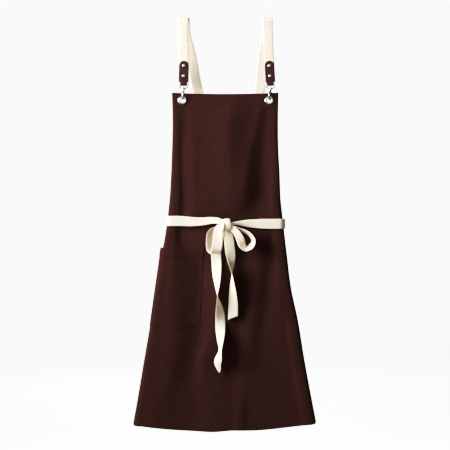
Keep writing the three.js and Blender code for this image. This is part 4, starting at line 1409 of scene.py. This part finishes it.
class MakeEyelets(bpy.types.Operator):
    """Make the eyelets and washers of the bib and of the wings."""
    bl_idname = "apron.make_eyelets"
    bl_label = "Eyelets"

    def execute(self, context):
        for where, half, spin in (("bib", 1.5, 0), ("waist", 1.0, math.pi)):
            seat = half + GAP
            lip = seat + WASHER + GAP
            nose = -seat - 1.2
            ring = [(EYELET_HOLE, nose + 0.7), (EYELET_HOLE + 0.5, nose + 0.15),
                    (EYELET_HOLE + 1.3, nose - 0.1), (EYELET_HOLE + 2.5, nose + 0.05),
                    (EYELET_RADIUS - 0.9, nose + 0.45), (EYELET_RADIUS, nose + 0.95),
                    (EYELET_RADIUS, -seat), (BARREL, -seat), (BARREL, lip), (BARREL + 1.2, lip),
                    (BARREL + 1.2, lip + 0.3), (BARREL + 0.5, lip + 0.7),
                    (EYELET_HOLE, lip + 0.4), (EYELET_HOLE, nose + 0.7)]
            disc = [(BARREL_HOLE, seat), (EYELET_RADIUS, seat), (EYELET_RADIUS, seat + WASHER),
                    (BARREL_HOLE, seat + WASHER), (BARREL_HOLE, seat)]
            for kind, profile in (("eyelet", ring), ("washer", disc)):
                nodes = [f"{side}_{where}_{kind}" for side in SIDES]
                places = []
                for side, node in zip(SIDES, nodes):
                    low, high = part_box(f"{side}_{where}_eyelet")
                    middle = (low + high) / 2 / MM
                    depth = FACE_Y if where == "bib" else waist_eyelet(SIDES[side])[1]
                    places.append(((middle.x, depth, middle.z), (0, 0, spin)))
                scattered(f"{where}_{kind}s", turned(rounded(profile, 0.2), 48), places, "nickel",
                          nodes)
        return {"FINISHED"}


# ---- Swivel eye, hook, gate ----
def frame_of(x_axis, z_axis, origin):
    x, z = Vector(x_axis).normalized(), Vector(z_axis).normalized()
    y = z.cross(x)
    turn = Matrix((x, y, z)).transposed().to_4x4()
    return Matrix.Translation(Vector(origin) / MM) @ turn


def eye_shape():
    half = EYE_HALF_WIDTH
    curve = [(-half, 0, 0), (-half, 0, -3.4), (-7.4, 0, -8.6), (0, 0, -10.4), (7.4, 0, -8.6),
             (half, 0, -3.4), (half, 0, 0)]
    bow = rod(curve, BAR, 18, 48)
    bar = rod([(-half, 0, 0), (0, 0, 0), (half, 0, 0)], BAR, 18, 12)
    profile = rounded([(SHANK + GAP, SWIVEL_BOTTOM), (SWIVEL_RADIUS, SWIVEL_BOTTOM),
                       (SWIVEL_RADIUS, SWIVEL_BOTTOM + 1.1), (SWIVEL_RADIUS - 0.45, -13),
                       (SWIVEL_RADIUS - 0.45, -10.2), (SWIVEL_RADIUS, -9.7),
                       (SWIVEL_RADIUS, SWIVEL_TOP), (SHANK + GAP, SWIVEL_TOP),
                       (SHANK + GAP, SWIVEL_BOTTOM)], 0.4)
    return gathered(bow, bar, upright(turned(profile, 36)))


def upright(shape):
    """A lathe shape about Y stood up about Z."""
    points, faces = shape
    return points[:, [2, 0, 1]], faces


def hook_shape():
    y = HOOK_HALF_DEPTH
    wire = rod([(0, 7.6, CROWN_Z - 1.5), (0, 4.6, CROWN_Z - 0.4), (0, 0, CROWN_Z),
                (0, -6, -18.9), (0, -y, -23.5), (0, -y, -30), (0, -6.8, -35),
                (0, -3.4, HOOK_BOTTOM_Z), (0, 3.4, HOOK_BOTTOM_Z), (0, 6.8, -35),
                (0, y, -31), (0, y, -29.4)], WIRE, 20, 72)
    collar = upright(turned(rounded([(0, -17.6), (2.9, -17.6), (3.2, -15.6), (2.6, -14.9),
                                     (SHANK, -14.9), (SHANK, -8), (SHANK + 1.2, -8),
                                     (SHANK + 1.1, -7.2), (0, -6.9)], 0.3), 32))
    clevis = block(0, 8.2, -18.9, 6.4, 4.4, 2.6, 0.9)
    ears = [block(x, 8.4, -21.9, 1.2, 4.4, 4.6, 0.5) for x in (-2.6, 2.6)]
    return gathered(wire, collar, clevis, *ears)


def along_x(shape, x, y, z):
    points, faces = shape
    return points[:, [1, 0, 2]] * np.array([1, 1, -1]) + np.array([x, y, z]), faces


def gate_shape():
    y, z = GATE_PIVOT
    bar_top = z - 2.5
    eye = along_x(turned(rounded([(1.1, -0.9), (1.9, -0.9), (1.9, 0.9), (1.1, 0.9), (1.1, -0.9)],
                                 0.2), 24), -0.8, y, z)
    neck = block(-0.8, y, z - 2.3, 1.8, 2.2, 2.6, 0.3)
    bar = block(0, y, (bar_top + GATE_END_Z) / 2, 3.4, 2.8, bar_top - GATE_END_Z, 0.7)
    return gathered(eye, neck, bar)


def spring_shape():
    y, z = GATE_PIVOT
    coil = 1.45
    turns = np.linspace(0, 4 * math.pi, 41)
    points = [(0.45, y + coil, z + 1.6)]
    points += [(0.45 + 1.2 * t / turns[-1], y + coil * math.cos(t), z - coil * math.sin(t))
               for t in turns]
    points.append((1.65, y + coil, z - 1.7))
    return rod(points, 0.17, 10, 140)


class MakeHooks(bpy.types.Operator):
    """Make the swivel eyes, hooks, gates, pins and springs, each on its own body."""
    bl_idname = "apron.make_hooks"
    bl_label = "Swivel hooks"

    def execute(self, context):
        for side in SIDES:
            rock = joint_named(f"{side}_eye_rock")
            swivel = joint_named(f"{side}_hook_swivel")
            gate = joint_named(f"{side}_gate_open")
            eye_frame = frame_of(rock["axis"], swivel["axis"], rock["pos_m"])
            across = [-value for value in gate["axis"]]
            hook_frame = frame_of(across, swivel["axis"], rock["pos_m"])
            pin = rod([(-3.3, *GATE_PIVOT), (0, *GATE_PIVOT), (3.3, *GATE_PIVOT)], GATE_PIN, 14, 6)
            plan = (
                ("swivel_eye", eye_shape(), eye_frame, "nickel", f"{side}_eye"),
                ("hook", hook_shape(), hook_frame, "nickel", f"{side}_hook_body"),
                ("hook_gate", gate_shape(), hook_frame, "nickel", f"{side}_gate"),
                ("gate_pin", pin, hook_frame, "steel", f"{side}_hook_body"),
                ("gate_spring", spring_shape(), hook_frame, "steel", f"{side}_hook_body"),
            )
            for node, shape, matrix, material, body in plan:
                slot = "nickel" if material == "nickel" else "spring_steel"
                piece = new_piece(f"{side}_cast_{node}", *moved(shape, matrix), material,
                                  body=body, slot=slot)
                outward(piece)
                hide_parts(f"{side}_{node}")
        return {"FINISHED"}


# ---- Stitches, by Geometry Nodes ----
def stitch_tree():
    """A tree that runs thread stitches along lines."""
    tree, start, end = new_tree("stitches", Lines="Geometry", Pitch="Float", Stitch_length="Float",
                                Thread_radius="Float", Finish="Material")
    add = tree.nodes.new
    curve, even = add("GeometryNodeMeshToCurve"), add("GeometryNodeResampleCurve")
    even.mode = "LENGTH"
    ball = add("GeometryNodeMeshUVSphere")
    ball.inputs["Segments"].default_value = 6
    ball.inputs["Rings"].default_value = 5
    ball.inputs["Radius"].default_value = 1.0
    size = add("ShaderNodeCombineXYZ")
    half = add("ShaderNodeMath")
    half.operation = "MULTIPLY"
    half.inputs[1].default_value = 0.5
    tangent, turn = add("GeometryNodeInputTangent"), add("FunctionNodeAlignRotationToVector")
    turn.axis = "X"
    copies, real = add("GeometryNodeInstanceOnPoints"), add("GeometryNodeRealizeInstances")
    finish = add("GeometryNodeSetMaterial")
    join_nodes(
        tree, (start, "Lines", curve, 0), (curve, 0, even, "Curve"),
        (start, "Pitch", even, "Length"), (even, 0, copies, "Points"),
        (ball, 0, copies, "Instance"), (start, "Stitch length", half, 0), (half, 0, size, 0),
        (start, "Thread radius", size, 1), (start, "Thread radius", size, 2),
        (size, 0, copies, "Scale"), (tangent, 0, turn, "Vector"), (turn, 0, copies, "Rotation"),
        (copies, 0, real, 0), (real, 0, finish, "Geometry"),
        (start, "Finish", finish, "Material"), (finish, 0, end, 0))
    return tree


def stitched(name, lines, material, pitch, stitch=0.72, radius=0.24):
    """Stitches along lines of points in millimetres, as one plain piece on the apron."""
    points, edges = [], []
    for line in lines:
        edges += [(len(points) + i, len(points) + i + 1) for i in range(len(line) - 1)]
        points += [tuple(np.array(point) * MM) for point in line]
    mesh = bpy.data.meshes.new(name)
    mesh.from_pydata(points, edges, [])
    piece = bpy.data.objects.new(name, mesh)
    bpy.context.scene.collection.objects.link(piece)
    maker = piece.modifiers.new("stitches", "NODES")
    maker.node_group = stitch_tree()
    set_input(maker, "Pitch", pitch)
    set_input(maker, "Stitch length", pitch * stitch)
    set_input(maker, "Thread radius", radius * MM)
    set_input(maker, "Finish", finish_of(material))
    finish_mesh(piece)
    piece.data.polygons.foreach_set("use_smooth", np.ones(len(piece.data.polygons), bool))
    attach(piece, BODY)
    return piece


class MakeStitches(bpy.types.Operator):
    """Make the machine stitches of the hems and the pocket."""
    bl_idname = "apron.make_stitches"
    bl_label = "Stitches"

    def execute(self, context):
        cloth = context.scene.apron_cloth
        surface = cloth.thickness / MM / 2 - 0.12
        back = -(cloth.thickness / MM * 2.1)
        lines = []
        for lift in (surface, back):
            top_s = np.linspace(-129, 129, 90)
            lines.append(on_cloth(top_s, bib_top(top_s) - BIB_HEM_DEPTH + SEAM_INSET, lift))
            reach = float(cloth_half(HEM_Z + 15, 1)) - 6
            hem_s = np.linspace(-reach, reach, 220)
            lines.append(on_cloth(hem_s, hem_line(hem_s) + BOTTOM_HEM_DEPTH - SEAM_INSET, lift))
            for sign in (-1, 1):
                level = np.linspace(BIB_TOP_Z - 4, HEM_Z + 22, 260)
                side_s = sign * (cloth_half(level, sign) - SIDE_HEM_DEPTH + SEAM_INSET)
                lines.append(on_cloth(side_s, levelled(level, side_s), lift))
        stitched("hem_stitches", lines, "thread", cloth.stitch)
        stitched("pocket_stitches", self.pocket_lines(surface), "thread", cloth.stitch)
        return {"FINISHED"}

    def pocket_lines(self, surface):
        lines = []

        def sewn(u, v, extra=0.0):
            u, v = np.broadcast_arrays(np.asarray(u, float), np.asarray(v, float))
            s, z, stand = pocket_place(u, v)
            return on_cloth(s, z, (stand + surface + extra)[:, None])

        for inset in POCKET_SEAMS:
            u = inset / POCKET_WIDTH
            v = 1 - inset / POCKET_HEIGHT
            lines.append(sewn(u, np.linspace(0.01, v, 60)))
            lines.append(sewn(1 - u, np.linspace(0.01, v, 60)))
            lines.append(sewn(np.linspace(u, 1 - u, 60), v))
        hem = np.linspace(0.004, 0.996, 60)
        lines.append(sewn(hem, (POCKET_HEM_DEPTH - SEAM_INSET) / POCKET_HEIGHT, 0.25))
        return lines


# ---- Stage ----
class MakeStage(bpy.types.Operator):
    """Set up the camera, the soft lights, the pale surroundings and the floor."""
    bl_idname = "apron.make_stage"
    bl_label = "Stage"

    lens = 85
    sensor = 36
    seen_width = 1.125
    aim = (-0.0005, -0.010, -0.5200)

    def execute(self, context):
        scene = context.scene
        camera = bpy.data.cameras.new("camera")
        camera.lens = self.lens
        camera.sensor_width = self.sensor
        held = bpy.data.objects.new("camera", camera)
        distance = self.seen_width * self.lens / self.sensor
        held.location = (self.aim[0], self.aim[1] - distance, self.aim[2])
        held.rotation_euler = (math.pi / 2, 0, 0)
        scene.collection.objects.link(held)
        scene.camera = held
        self.light("key", (-2.0, -1.05, 0.35), (0.25, 0, -0.2), 1.6, 38, 95)
        self.light("fill", (0.9, -2.9, -0.2), (0, 0, -0.5), 2.0, 5, 180)
        self.light("back", (-0.6, 3.0, 0.4), (0, 0, -0.5), 2.2, 26, 180)
        self.surroundings(scene)
        scene.view_settings.view_transform = "Standard"
        scene.view_settings.use_curve_mapping = True
        curves = scene.view_settings.curve_mapping
        for place in ((0.05, 0.05), (0.14, 0.2), (0.3, 0.48), (0.6, 0.78), (0.95, 0.95)):
            curves.curves[3].points.new(*place)
        curves.update()
        self.floor()
        return {"FINISHED"}

    def surroundings(self, scene):
        """A white room to look at, which lights the apron more from the upper left."""
        room = Finish("studio", "worlds")
        way = room.node("TexCoord", None, None, "Generated")
        x, y, z = (room.node("SeparateXYZ", None, {0: way}, part) for part in range(3))
        glow = room.ramp(x * -0.45 + y * -0.25 + z * 0.35 + 0.5, (0.25, 0.10), (1.0, 0.75))
        seen = room.node("LightPath", None, None, "Is Camera Ray")
        white = room.node("Background", None, {0: (0.956, 0.956, 0.956, 1)})
        lit = room.node("Background", None, {0: glow, 1: 0.44})
        blend = room.node("MixShader", None, {0: seen, 1: lit, 2: white})
        room.node("OutputWorld", None, {0: blend})
        scene.world = room.material

    def light(self, name, place, target, size, power, spread):
        lamp = bpy.data.lights.new(name, "AREA")
        lamp.shape = "DISK"
        lamp.size = size
        lamp.energy = power
        held = bpy.data.objects.new(name, lamp)
        held.location = place
        lamp.spread = math.radians(spread)
        held.rotation_euler = (Vector(target) - Vector(place)).to_track_quat("-Z", "Y").to_euler()
        bpy.context.scene.collection.objects.link(held)

    def floor(self):
        bpy.ops.mesh.primitive_plane_add(size=9, location=(0, 0, -1.32))
        floor = bpy.context.object
        floor.name = "floor"
        finish = Finish("floor_paint")
        speckle = finish.noise(finish.object_place(), 6.0)
        base = finish.mix((0.10, 0.10, 0.10, 1), (0.11, 0.11, 0.11, 1), speckle)
        floor.data.materials.append(finish.surface(
            base, 0.9, Specular_IOR_Level=0.0, Emission_Color=(0.956, 0.956, 0.956, 1),
            Emission_Strength=0.955))
        floor.visible_diffuse = False
        floor.visible_glossy = False


# ---- Add-on ----
class ApronPanel(bpy.types.Panel):
    """Lists the pieces and the sizes that can be changed."""
    bl_idname = "VIEW3D_PT_apron"
    bl_label = "Bib apron"
    bl_space_type = "VIEW_3D"
    bl_region_type = "UI"
    bl_category = "Apron"

    def draw(self, context):
        for group in (context.scene.apron_cloth, context.scene.apron_trim):
            for name in group.__annotations__:
                self.layout.prop(group, name)
        for maker in MAKERS:
            self.layout.operator(maker.bl_idname)


MAKERS = (MakeStage, MakeTapes, MakePanel, MakePocket, MakeKnot, MakeTabs, MakeRivets,
          MakeEyelets, MakeHooks, MakeStitches)
CLASSES = (ApronCloth, ApronTrim, *MAKERS, ApronPanel)


def register():
    for each in CLASSES:
        bpy.utils.register_class(each)
    bpy.types.Scene.apron_cloth = bpy.props.PointerProperty(type=ApronCloth)
    bpy.types.Scene.apron_trim = bpy.props.PointerProperty(type=ApronTrim)


def unregister():
    del bpy.types.Scene.apron_trim
    del bpy.types.Scene.apron_cloth
    for each in reversed(CLASSES):
        bpy.utils.unregister_class(each)


def main():
    register()
    for maker in MAKERS:
        group, operator = maker.bl_idname.split(".")
        getattr(getattr(bpy.ops, group), operator)()


if __name__ == "__main__":
    main()
